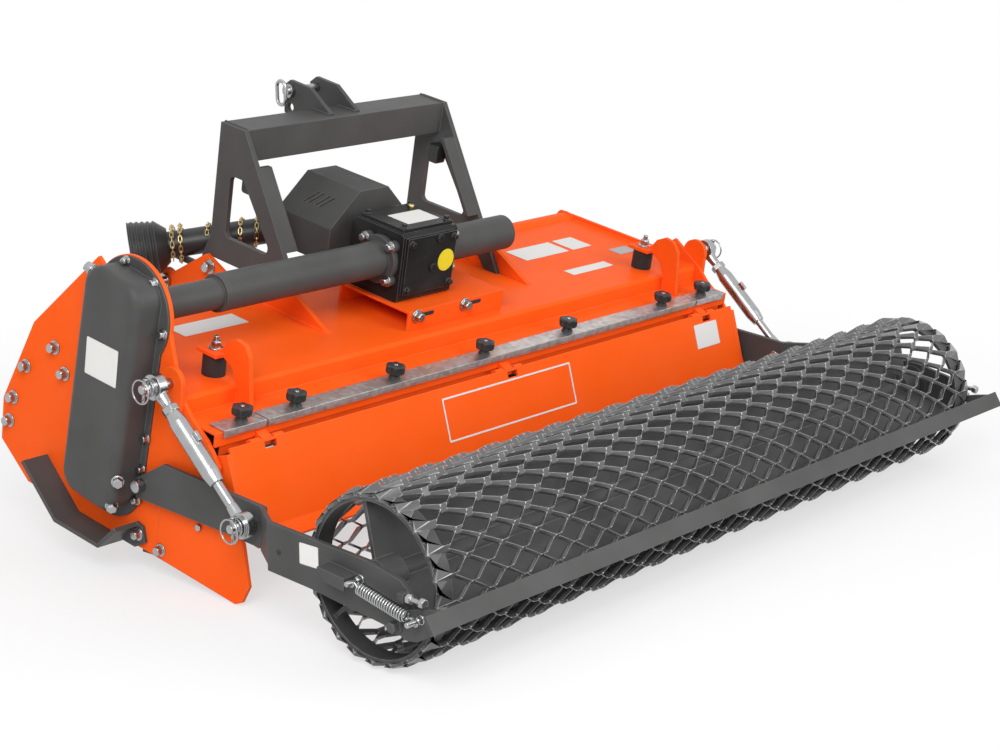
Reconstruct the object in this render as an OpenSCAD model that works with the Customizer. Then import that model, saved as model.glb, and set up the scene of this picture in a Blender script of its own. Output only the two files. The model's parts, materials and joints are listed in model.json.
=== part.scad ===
// Stone burier: a mounted cultivator that buries stones under fine soil.
// X runs to the right seen from behind, Y forward to the tractor, Z up from the floor.
// The casing parks nose up on its blades and guards, so casing pieces are drawn level,
// in u (forward) and w (up) from the rotor axis, and turned by the parking pitch.

/* [Parking] */
// Nose-up angle of the casing on the floor
pitch = 10.3; // [9.5:0.1:11]
// Rotor axis ahead of the origin
rotor_y = 253; // [240:1:265]

/* [Casing] */
// Half the width between the side plates
half_width = 825; // [815:1:835]
// Thickness of the side plates
plate_t = 8; // [6:0.5:8]
// Height of the deck above the rotor axis
deck_w = 214; // [212:1:218]
// Thickness of the hood sheet
sheet_t = 5; // [4:0.5:6]
// Height of the lower edge of the side plates under the rotor axis
plate_low = 132; // [128:1:134]
// Radius of the cross tube at the front of the deck
front_tube_r = 30; // [26:1:32]

/* [Drive] */
// Place of the gearbox across the machine
gearbox_x = -68; // [-76:1:-60]
// Width of the gearbox
gearbox_size = 168; // [160:1:172]
// Height of the drive shaft above the deck
drive_up = 129; // [124:1:134]
// Radius of the drive tube
tube_r = 39; // [36:0.5:40]
// Depth of the chain case outside the left plate
case_depth = 68; // [60:1:70]
// Half width of the chain case
case_r = 81; // [76:1:84]

/* [Hitch] */
// Half width of the headstock over its legs
hitch_half = 319; // [312:1:324]
// Height of the headstock above the rotor axis
hitch_top = 566; // [560:1:572]
// Thickness of the headstock legs
leg_t = 12; // [10:1:14]
// Radius of the lower hitch pins
hitch_pin_r = 11; // [10:0.5:12]
// Radius of the holes for the top link pin
link_hole_r = 9.75; // [9:0.25:10]

/* [Rotor] */
// Radius over the tips of the blades
tip_r = 200; // [196:1:202]
// Radius of the rotor tube
rotor_r = 44; // [40:1:48]
// Number of blade flanges
flange_count = 8; // [6:1:9]

/* [Rear] */
// Gap between the rear door and each side plate
door_gap = 13; // [10:1:25]
// Length of the rear door down its slope
door_h = 190; // [180:1:200]
// Gap between the clamping strip and each side plate
strip_gap = 17; // [10:1:25]

/* [Roller] */
// Half length of the roller
roller_half = 898; // [885:1:900]
// Radius over the teeth of the roller
roller_r = 166; // [162:1:168]
// Distance of the roller behind the rotor
roller_back = 777; // [765:1:785]
// Meshes around the roller
mesh_round = 14; // [12:1:16]
// Pairs of mesh rows along the roller
mesh_long = 11; // [9:1:12]
// Reach of the scraper bar past each arm
bar_over = 41; // [34:1:49]

/* [Hidden] */
$fn = 48;
orange = "#f0661c";
grey = "#56585a";
black = "#1b1b1c";
zinc = "#c9ccce";
plate_out = half_width + plate_t;
drive_u = -23;
drive_w = deck_w + drive_up;
sleeve_r = tube_r * 0.82;
leg_in = hitch_half - leg_t;
leg_front = 332;
leg_back = 257;
beam_h = 72;
front_u = 245;
front_w = deck_w - 19;
pin_u = 450;
pin_w = 165;
pin_len = 82;
step_u = -174;
ledge_w = deck_w - 36;
ledge_end = -275;
ledge_lip = 28;
hinge_u = ledge_end - 16;
hinge_w = ledge_w - 32;
hinge_r = 5;
door_lean = 25;
door_t = 6;
door_half = half_width - door_gap;
strip_half = half_width - strip_gap;
end_knob_x = half_width - 80;
knob_u = ledge_end + 19;
knob_xs = [-end_knob_x, -half_width + 223, -322, -44, 237, half_width - 237, end_knob_x];
hinge_xs = [-half_width + 115, 0, half_width - 115];
bumper_x = half_width - 141;
eye_x = plate_out + 47;
eye_u = -157;
eye_w = deck_w + 30;
arm_in = plate_out + 12;
arm_t = 10;
arm_out = roller_half + 13;
bar_half = arm_out + arm_t + bar_over;
pivot_back = 113;
pivot_z = 195;
low_eye_back = 433;
low_eye_z = 189;
jog_from = low_eye_back + 17;
jog_to = jog_from + 100;
strand_t = 5;
strand_tilt = 6;
cage_r = roller_r - strand_tilt;
link_pin_r = 9.5;
pedestal_w = drive_w - 85;
rim_t = 5;
case_corner = 46;
case_low = 56;
case_high = 86;
link_rise = eye_u * sin(pitch) + eye_w * cos(pitch) + tip_r - low_eye_z;
link_run = low_eye_back + eye_u * cos(pitch) - eye_w * sin(pitch);
link_len = norm([link_run, link_rise]);
link_angle = atan2(link_rise, link_run);

// Puts a piece drawn level about the rotor axis where the casing parks
module on_casing() {
  translate([0, rotor_y, tip_r]) rotate([pitch, 0, 0]) children();
}

// Turns a side view drawn in u and w into a plate from x0 to x1
module plate_x(x0, x1) {
  translate([min(x0, x1), 0, 0]) rotate([90, 0, 90]) linear_extrude(abs(x1 - x0)) children();
}

// A round bar along X about a point of the side view
module bar_x(x0, x1, u, w, r) {
  translate([min(x0, x1), u, w]) rotate([0, 90, 0]) cylinder(h = abs(x1 - x0), r = r);
}

// Moves a side view to a point
module at(u, w) {
  translate([u, w]) children();
}

// Convex outline with round corners: lines between the tangent points and a circle in each corner
function unit(v) = v / norm(v);
function corner_ways(pts, i) =
  let (n = len(pts)) [unit(pts[(i + n - 1) % n] - pts[i]), unit(pts[(i + 1) % n] - pts[i])];
function corner_half(ways) = acos(ways[0] * ways[1]) / 2;
module rounded(pts, r) {
  ways = [for (i = [0 : len(pts) - 1]) corner_ways(pts, i)];
  polygon([for (i = [0 : len(pts) - 1], way = ways[i]) pts[i] + way * r / tan(corner_half(ways[i]))]);
  for (i = [0 : len(pts) - 1])
    translate(pts[i] + unit(ways[i][0] + ways[i][1]) * r / sin(corner_half(ways[i]))) circle(r = r);
}

// Outline of the lower casing that both side plates share
function casing_front() = [
  [-145, -plate_low], [261, -plate_low], [356, -70], [358, 22], [274, deck_w + 4]
];

module side_plate_left() {
  color(orange) on_casing() difference() {
    plate_x(-plate_out, -half_width) union() {
      polygon(concat(casing_front(), [
        [90, drive_w + 75], [drive_u, drive_w], [-115, drive_w + 34], [-149, deck_w + 75],
        [-181, deck_w + 3],
        [-212, ledge_w + 11], [-260, ledge_w - 18], [-300, ledge_w - 58], [-300, 40], [-145, 40]
      ]));
      at(drive_u, drive_w) circle(r = case_r + 29);
    }
    bar_x(-plate_out - 1, -half_width + 1, 0, 0, rotor_r + 12);
    bar_x(-plate_out - 1, -half_width + 1, drive_u, drive_w, sleeve_r);
  }
}

module side_plate_right() {
  color(orange) on_casing() difference() {
    plate_x(half_width, plate_out) polygon(concat(casing_front(), [
      [268, deck_w + 11], [-60, deck_w + 11], [-100, deck_w + 50], [-181, deck_w + 3],
      [-212, ledge_w + 11], [-260, ledge_w - 18], [-300, ledge_w - 58], [-300, 40], [-145, 40]
    ]));
    bar_x(half_width - 1, plate_out + 1, 0, 0, rotor_r + 12);
  }
}

// Bolted plates that carry the casing on to the ground behind the rotor
module rear_guards() {
  color(orange) on_casing() for (side = [-1, 1]) mirror([side < 0 ? 1 : 0, 0, 0])
    plate_x(half_width, plate_out) polygon([
      [-145, -plate_low], [-145, 40], [-300, 40], [-318, 70], [-384, -6], [-411, -85],
      [-396, -124], [-379, -plate_low - 2]
    ]);
}

// Deck, rear step and ledge, bent from one sheet, with its sloping front
module hood_deck() {
  color(orange) on_casing() plate_x(-half_width, half_width) difference() {
    polygon([
      [front_u, deck_w], [step_u + 6, deck_w], [step_u, deck_w - 6], [step_u - 3, ledge_w],
      [ledge_end, ledge_w],
      [ledge_end, ledge_w - ledge_lip], [ledge_end + sheet_t, ledge_w - ledge_lip],
      [ledge_end + sheet_t, ledge_w - sheet_t], [step_u + 2, ledge_w - sheet_t],
      [step_u + 5, deck_w - sheet_t], [front_u, deck_w - sheet_t]
    ]);
    at(front_u, front_w) circle(r = front_tube_r);
  }
}

module front_tube() {
  color(orange) on_casing() difference() {
    bar_x(-half_width, half_width, front_u, front_w, front_tube_r);
    bar_x(-half_width - 1, half_width + 1, front_u, front_w, front_tube_r - 5);
  }
}

// Plates on the deck, outside the legs, that reach forward to the lower hitch pins
module hitch_brackets() {
  color(orange) on_casing() for (side = [-1, 1]) {
    x0 = side * hitch_half;
    x1 = x0 + side * leg_t;
    difference() {
      plate_x(x0, x1) difference() {
        union() {
          polygon([
            [-62, deck_w], [48, deck_w + 52], [150, deck_w + 30], [250, deck_w + 22], [330, deck_w + 53],
            [430, deck_w - 22], [466, deck_w - 29], [pin_u + 26, pin_w], [pin_u, pin_w - 26],
            [front_u + 20, deck_w - 60], [front_u, front_w], [front_u, deck_w]
          ]);
          at(pin_u, pin_w) circle(r = 30);
        }
        at(front_u, front_w) circle(r = front_tube_r);
      }
      bar_x(x0 - side, x1 + side, pin_u, pin_w, hitch_pin_r);
    }
  }
}

// Shouldered pins for the tractor's lower links
module hitch_pins() {
  color(zinc) on_casing() for (side = [-1, 1]) {
    x0 = side * hitch_half;
    bar_x(x0 - side * 22, x0 + side * (leg_t + 10 + pin_len), pin_u, pin_w, hitch_pin_r);
    bar_x(x0 - side * 18, x0, pin_u, pin_w, hitch_pin_r + 7);
    bar_x(x0 + side * leg_t, x0 + side * (leg_t + 10), pin_u, pin_w, hitch_pin_r + 7);
  }
}

// One leg of the headstock, a plate with a window and a flange along its back
window = [[288, 318], [288, 458], [246, 458], [138, 318]];
// Hook on the left leg that carries the parked driveline
line_hook = [
  [leg_front, 310], [leg_front, 266], [356, 220], [466, 220], [478, 230], [478, 262], [468, 262],
  [462, 232],
  [360, 232], [350, 268]
];
module headstock_leg(side) {
  x0 = side * hitch_half;
  color(grey) on_casing() {
    plate_x(x0, x0 - side * leg_t) difference() {
      polygon([
        [leg_front, 262], [leg_front, hitch_top], [leg_back, hitch_top], [25, deck_w], [66, deck_w],
        [110, 262]
      ]);
      rounded(window, 14);
    }
    if (side < 0) plate_x(x0, x0 - side * leg_t) polygon(line_hook);
    plate_x(x0 - side * leg_t, x0 - side * 46) polygon([
      [leg_back - 46, hitch_top - beam_h], [leg_back - 34, hitch_top - beam_h], [118, 336], [106, 336]
    ]);
  }
}
module headstock_leg_left() { headstock_leg(-1); }
module headstock_leg_right() { headstock_leg(1); }

module headstock_beam() {
  color(grey) on_casing() difference() {
    plate_x(-leg_in, leg_in) beam_view(0);
    plate_x(-leg_in - 1, leg_in + 1) beam_view(5);
  }
}
// Section of the top beam, drawn in by its wall for the hollow
module beam_view(wall) {
  at(leg_back + wall, hitch_top - beam_h + wall) square([leg_front - leg_back - 2 * wall, beam_h - 2 * wall]);
}

// Two plates with two pairs of holes for the tractor's top link
link_us = [406, 402];
link_ws = [hitch_top + 23, hitch_top - 15];
ear_gap = 36;
ear_t = 10;
module top_link_ears() {
  color(grey) on_casing() for (side = [-1, 1]) {
    x0 = side * ear_gap;
    x1 = x0 + side * ear_t;
    difference() {
      plate_x(x0, x1) polygon([
        [leg_front, hitch_top], [leg_front, hitch_top - beam_h + 6], [400, hitch_top - 40],
        [420, hitch_top - 30],
        [430, hitch_top + 30], [412, hitch_top + 46], [346, hitch_top + 44], [leg_back + 20, hitch_top + 4],
        [leg_back + 20, hitch_top]
      ]);
      for (i = [0, 1]) bar_x(x0 - side, x1 + side, link_us[i], link_ws[i], link_hole_r);
    }
  }
}

module top_link_pin() {
  span = ear_gap + ear_t;
  color(zinc) on_casing() {
    bar_x(-span - 16, span + 14, link_us[0], link_ws[0], link_hole_r - 0.25);
    bar_x(-span - 12, -span, link_us[0], link_ws[0], link_hole_r + 6);
  }
}

// Tube round the side shaft, with its thinner sleeve and the flange at the gearbox
module drive_tube() {
  x0 = -half_width;
  x1 = gearbox_x - gearbox_size / 2;
  color(grey) on_casing() {
    bar_x(x0 - plate_t, x0 + 210, drive_u, drive_w, sleeve_r);
    bar_x(x0 + 200, x1, drive_u, drive_w, tube_r);
    plate_x(x1 - 14, x1) flange_view();
  }
}
// Flange on the gearbox, with an ear for each of its bolts
flange_bolt_r = tube_r + 15;
module flange_view() {
  at(drive_u, drive_w) {
    circle(r = tube_r + 14);
    for (a = [45 : 90 : 315]) rotate(a) {
      translate([flange_bolt_r, 0]) circle(r = 13);
      translate([0, -13]) square([flange_bolt_r, 26]);
    }
  }
}

module stub_tube() {
  x0 = gearbox_x + gearbox_size / 2;
  color(grey) on_casing() {
    bar_x(x0, x0 + 230, drive_u, drive_w, tube_r);
    plate_x(x0, x0 + 14) flange_view();
  }
}

module gearbox() {
  half = gearbox_size / 2;
  top = drive_w + 69;
  color(black) on_casing() {
    plate_x(gearbox_x - half, gearbox_x + half) polygon([
      [-78, pedestal_w], [-84, pedestal_w + 6], [-84, top - 6], [-78, top], [60, top], [72, top - 12],
      [72, pedestal_w + 24], [60, pedestal_w]
    ]);
    plate_x(gearbox_x - half + 8, gearbox_x + half - 8) polygon([
      [-92, pedestal_w + 18], [-92, top - 8], [-83, top - 8], [-83, pedestal_w + 18]
    ]);
    plate_x(gearbox_x - half + 8, gearbox_x + half - 8) polygon([
      [-74, top - 1], [-74, top + 9], [56, top + 9], [56, top - 1]
    ]);
    translate([gearbox_x, 70, drive_w]) rotate([-90, 0, 0]) cylinder(h = guard_back - 70, r = 48);
  }
}

// Folded stand under the gearbox, on the deck
module gearbox_pedestal() {
  x0 = gearbox_x - gearbox_size / 2 - 12;
  x1 = gearbox_x + gearbox_size / 2 + 124;
  color(orange) on_casing() plate_x(x0, x1) polygon([
    [-136, deck_w], [-136, pedestal_w], [75, pedestal_w], [75, deck_w], [69, deck_w], [69, pedestal_w - 6],
    [-130, pedestal_w - 6], [-130, deck_w]
  ]);
}

module input_shaft() {
  color(zinc) on_casing() translate([gearbox_x, guard_back, drive_w]) rotate([-90, 0, 0])
    cylinder(h = joint_u - guard_back, r = 17.5);
}

// Angular tunnel over the input shaft
guard_back = 96;
guard_len = 166;
guard_top = drive_w + 109;
guard_slots = [58, 72, 92, 106];
shoulder_lean = atan2(76, 80);
slot_lean = 31;
module input_guard() {
  color(grey) on_casing() translate([gearbox_x, guard_back, 0]) difference() {
    guard_run(0, guard_len) guard_view(0);
    guard_run(4, guard_len) guard_view(4);
    guard_run(-1, 6) at(0, drive_w) circle(r = 30);
    for (u = guard_slots) {
      for (side = [-1, 1]) translate([side * 84, u, guard_top - 38]) rotate([0, side * shoulder_lean, 0])
        rotate(side * slot_lean) cube([40, 4, 20], center = true);
      translate([20, u, guard_top]) cube([34, 4, 20], center = true);
    }
  }
}
// Section of the tunnel: flat roof, sloping shoulders and upright walls, drawn in by its wall
module guard_view(wall) {
  foot = drive_w - 47;
  eave = guard_top - 76;
  polygon([
    [-124 + wall, foot - wall], [-124 + wall, eave - wall / 2], [-44 + wall / 2, guard_top - wall],
    [44 - wall / 2, guard_top - wall], [124 - wall, eave - wall / 2], [124 - wall, foot - wall]
  ]);
}
module guard_run(from, len) {
  translate([0, from + len, 0]) rotate([90, 0, 0]) linear_extrude(len) children();
}

// Cover of the chain that drives the rotor
module chain_case() {
  lean = atan2(drive_w, drive_u) - 90;
  straight = case_r - case_corner;
  low = case_corner - case_low;
  high = norm([drive_u, drive_w]) + case_high - case_corner;
  color(grey) on_casing() difference() {
    union() {
      translate([-plate_out, 0, 0]) rotate([90, 0, -90]) mirror([1, 0, 0]) rotate(lean) {
        for (side = [-1, 1], end = [low, high]) translate([side * straight, end, 0])
          rotate_extrude() case_half(case_corner);
        translate([0, high, 0]) rotate([90, 0, 0]) linear_extrude(high - low) {
          case_half(case_r);
          mirror([1, 0]) case_half(case_r);
        }
        for (turn = [0, 180]) translate([0, turn == 0 ? high : low, 0]) rotate([0, 0, turn])
          translate([-straight, 0, 0]) rotate([90, 0, 90]) linear_extrude(2 * straight)
            case_half(case_corner);
      }
      plate_x(-plate_out - rim_t, -plate_out) {
        case_view(case_r + 14);
        at(drive_u, drive_w) circle(r = case_r + 27);
      }
    }
    bar_x(-plate_out - 16, -plate_out + 1, 0, 0, 31);
  }
}
// Half section of the case out to a radius, with a round outer edge
case_edge = 20;
module case_half(r) {
  square([r - case_edge, case_depth]);
  square([r, case_depth - case_edge]);
  translate([r - case_edge, case_depth - case_edge]) intersection() {
    circle(r = case_edge);
    square(case_edge);
  }
}
// Side view of the chain case, round about both shafts
module case_view(r) {
  len = norm([drive_u, drive_w]);
  lean = atan2(drive_w, drive_u) - 90;
  circle(r = r);
  at(drive_u, drive_w) circle(r = r);
  rotate(lean) translate([-r, 0]) square([2 * r, len]);
}

// Bent runners at the foot of the side plates
module skids() {
  low = -plate_low;
  color(grey) on_casing() for (side = [-1, 1]) mirror([side < 0 ? 1 : 0, 0, 0]) {
    plate_x(plate_out, plate_out + 62) polygon([
      [205, -48], [92, low], [-41, low], [-88, -78], [-95, -84], [-44, low - 8], [95, low - 8], [211, -54]
    ]);
    plate_x(plate_out, plate_out + 8)
      polygon([[-44, low], [-88, -78], [-108, -82], [-120, -112], [-92, low]]);
  }
}

// Ears and pins at the top of the depth links
module link_ears() {
  color(orange) on_casing() for (side = [-1, 1]) mirror([side < 0 ? 1 : 0, 0, 0]) {
    plate_x(plate_out, plate_out + 10) union() {
      polygon([
        [eye_u + 33, eye_w - 54], [eye_u + 31, eye_w + 8], [eye_u - 31, eye_w + 6], [eye_u - 33, eye_w - 54]
      ]);
      at(eye_u, eye_w) circle(r = 32);
    }
    bar_x(plate_out + 10, eye_x + 34, eye_u, eye_w, link_pin_r);
  }
}

// Galvanised strips that clamp the foot of the stone grid
module clamp_strips() {
  joint_x = bumper_x + 13;
  spans = [[-strip_half, -joint_x - 2], [-joint_x + 2, joint_x - 2], [joint_x + 2, strip_half]];
  color(zinc) on_casing() for (s = spans) plate_x(s[0], s[1]) polygon([
    [ledge_end + 38, ledge_w], [ledge_end + 38, ledge_w + 5], [ledge_end - 5, ledge_w + 5],
    [ledge_end - 5, ledge_w - 10],
    [ledge_end, ledge_w - 10], [ledge_end, ledge_w]
  ]);
}

module clamp_knobs() {
  color(black) on_casing() for (x = knob_xs) translate([x, knob_u, ledge_w + 5]) {
    cylinder(h = 12, r = 11);
    translate([0, 0, 12]) cylinder(h = 18, r = 20);
  }
}

// Brackets that press the stone grid down on rubber buffers
buffer_h = 46;
buffer_u = -108;
module grid_brackets() {
  seat = deck_w + buffer_h;
  color(orange) on_casing() for (side = [-1, 1]) mirror([side < 0 ? 1 : 0, 0, 0]) {
    plate_x(bumper_x, bumper_x + 10) polygon([
      [ledge_end + 50, ledge_w], [-210, seat + 22], [-194, seat + 44], [-168, seat + 48],
      [-146, seat + 36], [-130, seat + 12],
      [buffer_u + 27, seat + 8], [buffer_u + 27, seat], [-138, seat], [-164, seat - 14],
      [step_u - 10, deck_w - 8],
      [step_u - 14, ledge_w]
    ]);
    plate_x(bumper_x - 21, bumper_x + 31) polygon([
      [buffer_u + 27, seat], [buffer_u + 27, seat + 8], [-138, seat + 8], [-138, seat]
    ]);
  }
}

module grid_buffers() {
  color(black) on_casing() for (side = [-1, 1])
    translate([side * (bumper_x + 5), buffer_u, deck_w]) cylinder(h = buffer_h, r = 24);
}

// Comb of rods behind the rotor that lets soil through and holds stones back
grid_count = 27;
grid_r = 250;
grid_bar_r = 14;
grid_top_w = ledge_w - sheet_t;
grid_bar_w = grid_top_w - grid_bar_r;
grid_top = 180 - asin(grid_bar_w / grid_r);
grid_rod_r = 6;
module stone_grid() {
  reach = half_width - 45;
  color(grey) on_casing() {
    bar_x(-half_width + 12, half_width - 12, grid_r * cos(grid_top), grid_bar_w, grid_bar_r);
    for (x = knob_xs) plate_x(x - 18, x + 18) polygon([
      [grid_r * cos(grid_top), grid_top_w - 6], [grid_r * cos(grid_top), grid_top_w],
      [ledge_end + 12, grid_top_w],
      [ledge_end + 12, grid_top_w - 6]
    ]);
    for (i = [0 : grid_count - 1]) translate([reach * (2 * i / (grid_count - 1) - 1), 0, 0])
      rotate([90, 0, 90]) rotate([0, 0, grid_top]) rotate_extrude(angle = 52)
        translate([grid_r, 0]) circle(r = grid_rod_r);
  }
}

module rotor_bearing() {
  color(grey) on_casing() {
    difference() {
      bar_x(plate_out, plate_out + 22, 0, 0, 84);
      bar_x(plate_out - 1, plate_out + 23, 0, 0, 30);
    }
    difference() {
      bar_x(plate_out + 22, plate_out + 48, 0, 0, 58);
      bar_x(plate_out + 21, plate_out + 40, 0, 0, 30);
    }
  }
}

// Telescopic driveline, jointed on the input shaft and parked in a hook of the left leg
joint_u = 150;
line_start = [gearbox_x, joint_u + 64, drive_w];
line_end = [-410, 486, 236];
line_len = norm(line_end - line_start);
line_turn = atan2(line_end[1] - line_start[1], line_end[0] - line_start[0]);
line_drop = acos((line_end[2] - line_start[2]) / line_len);
module on_line(from) {
  translate(line_start) rotate([0, line_drop, line_turn]) translate([0, 0, from]) children();
}
bell_len = 84;
yoke_len = 70;
module driveline_tube() {
  color(black) on_casing() on_line(yoke_len) cylinder(h = line_len - 2 * yoke_len, r = 30);
}
module driveline_bells() {
  color(black) on_casing() difference() {
    on_line(line_len - bell_len) rotate_extrude() bell_view();
    on_line(line_len - bell_len - 1) cylinder(h = bell_len - yoke_len + 1, r = 30);
    on_line(line_len - yoke_len) cylinder(h = yoke_len + 1, r1 = 36, r2 = 53);
  }
}
// Half section of the bell: a cone, then folds of one ridge and one groove each
bell_folds = 5;
fold = 12;
module bell_view() {
  polygon(concat(
    [[0, 0], [38, 0], [54, 20]],
    [for (i = [0 : bell_folds - 1], p = [[59 + 1.2 * i, 26 + fold * i], [55 + 1.6 * i, 32 + fold * i]]) p],
    [[64, bell_len], [0, bell_len]]
  ));
}
// Joint on the input shaft, and the bored yoke at the free end
module driveline_yoke() {
  color(zinc) on_casing() {
    translate([gearbox_x, joint_u, drive_w]) rotate([-90, 0, 0])
      cylinder(h = line_start[1] - joint_u, r = 29);
    translate(line_start) sphere(r = 34);
    on_line(0) cylinder(h = yoke_len, r = 26);
    difference() {
      on_line(line_len - yoke_len) cylinder(h = yoke_len - 4, r = 28);
      on_line(line_len - 60) cylinder(h = 61, r = 17.5);
    }
  }
}

// Pins of the rear door, each in a lug of the ledge
module hinge_brackets() {
  color(orange) on_casing() for (x = hinge_xs) {
    bar_x(x - 46, x + 46, hinge_u, hinge_w, hinge_r);
    plate_x(x - 12, x + 12) polygon([
      [ledge_end, ledge_w - ledge_lip + 12], [ledge_end, hinge_w - 8], [hinge_u - 4, hinge_w - 8],
      [hinge_u - 4, hinge_w + 8]
    ]);
  }
}

module rear_door() {
  face = hinge_r + 4;
  color(orange) on_casing() translate([0, hinge_u, hinge_w]) rotate([-door_lean, 0, 0]) difference() {
    union() {
      plate_x(-door_half, door_half) polygon([
        [-face - door_t, 5], [-face, 5], [-face, -door_h + 28], [-face - 9, -door_h + 10],
        [-face - 28, -door_h],
        [-face - 31, -door_h + 5], [-face - 14, -door_h + 14], [-face - door_t, -door_h + 30]
      ]);
      for (x = hinge_xs, side = [-1, 1]) bar_x(x + side * 18, x + side * 42, 0, 0, hinge_r + 5);
    }
    for (x = hinge_xs) {
      bar_x(x - 43, x + 43, 0, 0, hinge_r + 0.5);
      translate([x - 16, -face - door_t - 1, -14]) cube([32, door_t + 2, 13]);
    }
  }
}

// Arm that carries one end of the roller, drawn in floor height behind the rotor axis
module roller_arm(side) {
  color(grey) translate([0, rotor_y, 0]) mirror([side < 0 ? 1 : 0, 0, 0]) difference() {
    union() {
      plate_x(arm_in, arm_in + arm_t) polygon([
        [-pivot_back + 18, pivot_z + 9], [-pivot_back - 67, pivot_z + 54], [-jog_from - 10, low_eye_z + 33],
        [-jog_from - 10, low_eye_z - 49], [-low_eye_back + 91, low_eye_z - 39],
        [-pivot_back + 18, pivot_z - 29]
      ]);
      linear_jog();
      bar_x(arm_in + arm_t, eye_x + 34, -low_eye_back, low_eye_z, link_pin_r);
      plate_x(arm_out, arm_out + arm_t) polygon([
        [-jog_to + 10, low_eye_z + 40], [-roller_back - 14, roller_r + 47],
        [-roller_back - 93, roller_r + 30],
        [-roller_back - 123, roller_r + 4], [-roller_back - 113, roller_r - 46],
        [-roller_back - 91, roller_r - 66],
        [-roller_back - 67, roller_r - 62], [-roller_back + 123, roller_r - 38],
        [-jog_to + 10, low_eye_z - 52]
      ]);
      spring_tab();
    }
    bar_x(arm_in - 1, arm_in + arm_t + 1, -pivot_back, pivot_z, 13);
  }
}
// Slanting stretch of the arm between its inner and outer plates
module linear_jog() {
  translate([0, 0, low_eye_z - 52]) linear_extrude(85) polygon([
    [arm_in, -jog_from], [arm_in + arm_t, -jog_from], [arm_out + arm_t, -jog_to], [arm_out, -jog_to]
  ]);
}
// Folded tab that the scraper's spring pulls on
module spring_tab() {
  x0 = arm_out + arm_t;
  u = spring_top[0];
  w = spring_top[1];
  plate_x(x0, x0 + 34) polygon([[u + 74, w + 15], [u + 9, w + 8], [u + 9, w + 3], [u + 74, w + 10]]);
  plate_x(x0 + 29, x0 + 34) polygon([[u + 74, w + 15], [u + 9, w + 8], [u + 9, w - 15], [u + 56, w - 9]]);
}
module roller_arm_left() { roller_arm(-1); }
module roller_arm_right() { roller_arm(1); }

module arm_pivots() {
  color(zinc) translate([0, rotor_y, 0]) for (side = [-1, 1]) {
    bar_x(side * plate_out, side * (arm_in + arm_t + 18), -pivot_back, pivot_z, 12.5);
  }
}

module scraper_bar() {
  u = -roller_back - 209;
  w = roller_r - 18;
  color(grey) translate([0, rotor_y, 0]) {
    plate_x(-bar_half, bar_half)
      polygon([[u + 25, w + 15], [u + 7, w - 15], [u, w - 11], [u + 18, w + 19]]);
    for (side = [-1, 1]) mirror([side < 0 ? 1 : 0, 0, 0])
      plate_x(arm_out + arm_t, arm_out + arm_t + 8) polygon([
        [u + 128, w - 24], [u + 124, w - 40], [u + 98, w - 54], [u + 70, w - 50], [u + 7, w - 15],
        [u + 18, w + 19],
        [u + 46, w + 14], [u + 96, w + 2]
      ]);
  }
}

// Springs that hold the scraper to the cage, each between a pin on the arm and one on the scraper
spring_top = [-roller_back + 1, roller_r + 10];
spring_end = [-roller_back - 149, roller_r - 25];
module scraper_springs() {
  lean = atan2(spring_top[1] - spring_end[1], spring_top[0] - spring_end[0]);
  len = norm(spring_top - spring_end);
  color(zinc) translate([0, rotor_y, 0]) for (side = [-1, 1]) mirror([side < 0 ? 1 : 0, 0, 0]) {
    translate([arm_out + arm_t + 24, spring_top[0], spring_top[1]]) rotate([90 + lean, 0, 0])
      translate([0, 0, 4]) cylinder(h = len - 8, r = 11);
    bar_x(arm_out + arm_t, arm_out + arm_t + 38, spring_top[0], spring_top[1], 5);
    bar_x(arm_out + arm_t + 8, arm_out + arm_t + 38, spring_end[0], spring_end[1], 5);
  }
}

// Flanged bearings of the roller, on the inner faces of the arms
bearing_t = 7;
roller_shaft_r = 20;
module roller_bearings() {
  color(grey) translate([0, rotor_y, 0]) for (side = [-1, 1]) difference() {
    bar_x(side * (arm_out - bearing_t), side * arm_out, -roller_back, roller_r, 42);
    bar_x(side * (arm_out - bearing_t - 1), side * (arm_out + 1), -roller_back, roller_r, roller_shaft_r + 1);
  }
}

// Expanded metal cage: staggered diamond meshes rolled to a tube, with tilted strands.
// Columns of each mesh: left, right, leading and trailing corner.
rows = 2 * mesh_long;
row_step = 2 * roller_half / (rows + 1);
half_turn = 180 / mesh_round;
hoop_r = (cage_r - strand_t) * cos(half_turn);
function on_tube(x, a, r) = [x, r * sin(a), r * cos(a)];
function mesh_corner(i, j, c, inward) =
  let (
    x = -roller_half + (i + 1) * row_step + [-0.74, 0.74, 0, 0][c] * row_step,
    a = (2 * j + i % 2 + [0, 0, 0.7, -0.7][c]) * half_turn,
    r = cage_r + [0, 0, strand_tilt, -strand_tilt][c] - inward
  ) on_tube(x, a, r);
function end_corner(side, k, inward) =
  on_tube(side * (roller_half - (k % 2 == (side < 0 ? 0 : 1) ? 0.3 * row_step : 0)), k * half_turn, cage_r - inward);
mesh_total = rows * mesh_round;
skin = 4 * mesh_total + 4 * mesh_round;
cage_skins = [0, strand_t];
cage_points = [
  for (inward = cage_skins) each concat(
    [for (i = [0 : rows - 1], j = [0 : mesh_round - 1], c = [0 : 3]) mesh_corner(i, j, c, inward)],
    [for (side = [-1, 1], k = [0 : 2 * mesh_round - 1]) end_corner(side, k, inward)]
  )
];
function at_mesh(i, k, c) = 4 * (i * mesh_round + floor(((k + 2 * mesh_round) % (2 * mesh_round)) / 2)) + c;
function at_end(side, k) =
  4 * mesh_total + (side > 0 ? 2 * mesh_round : 0) + (k + 2 * mesh_round) % (2 * mesh_round);
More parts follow.
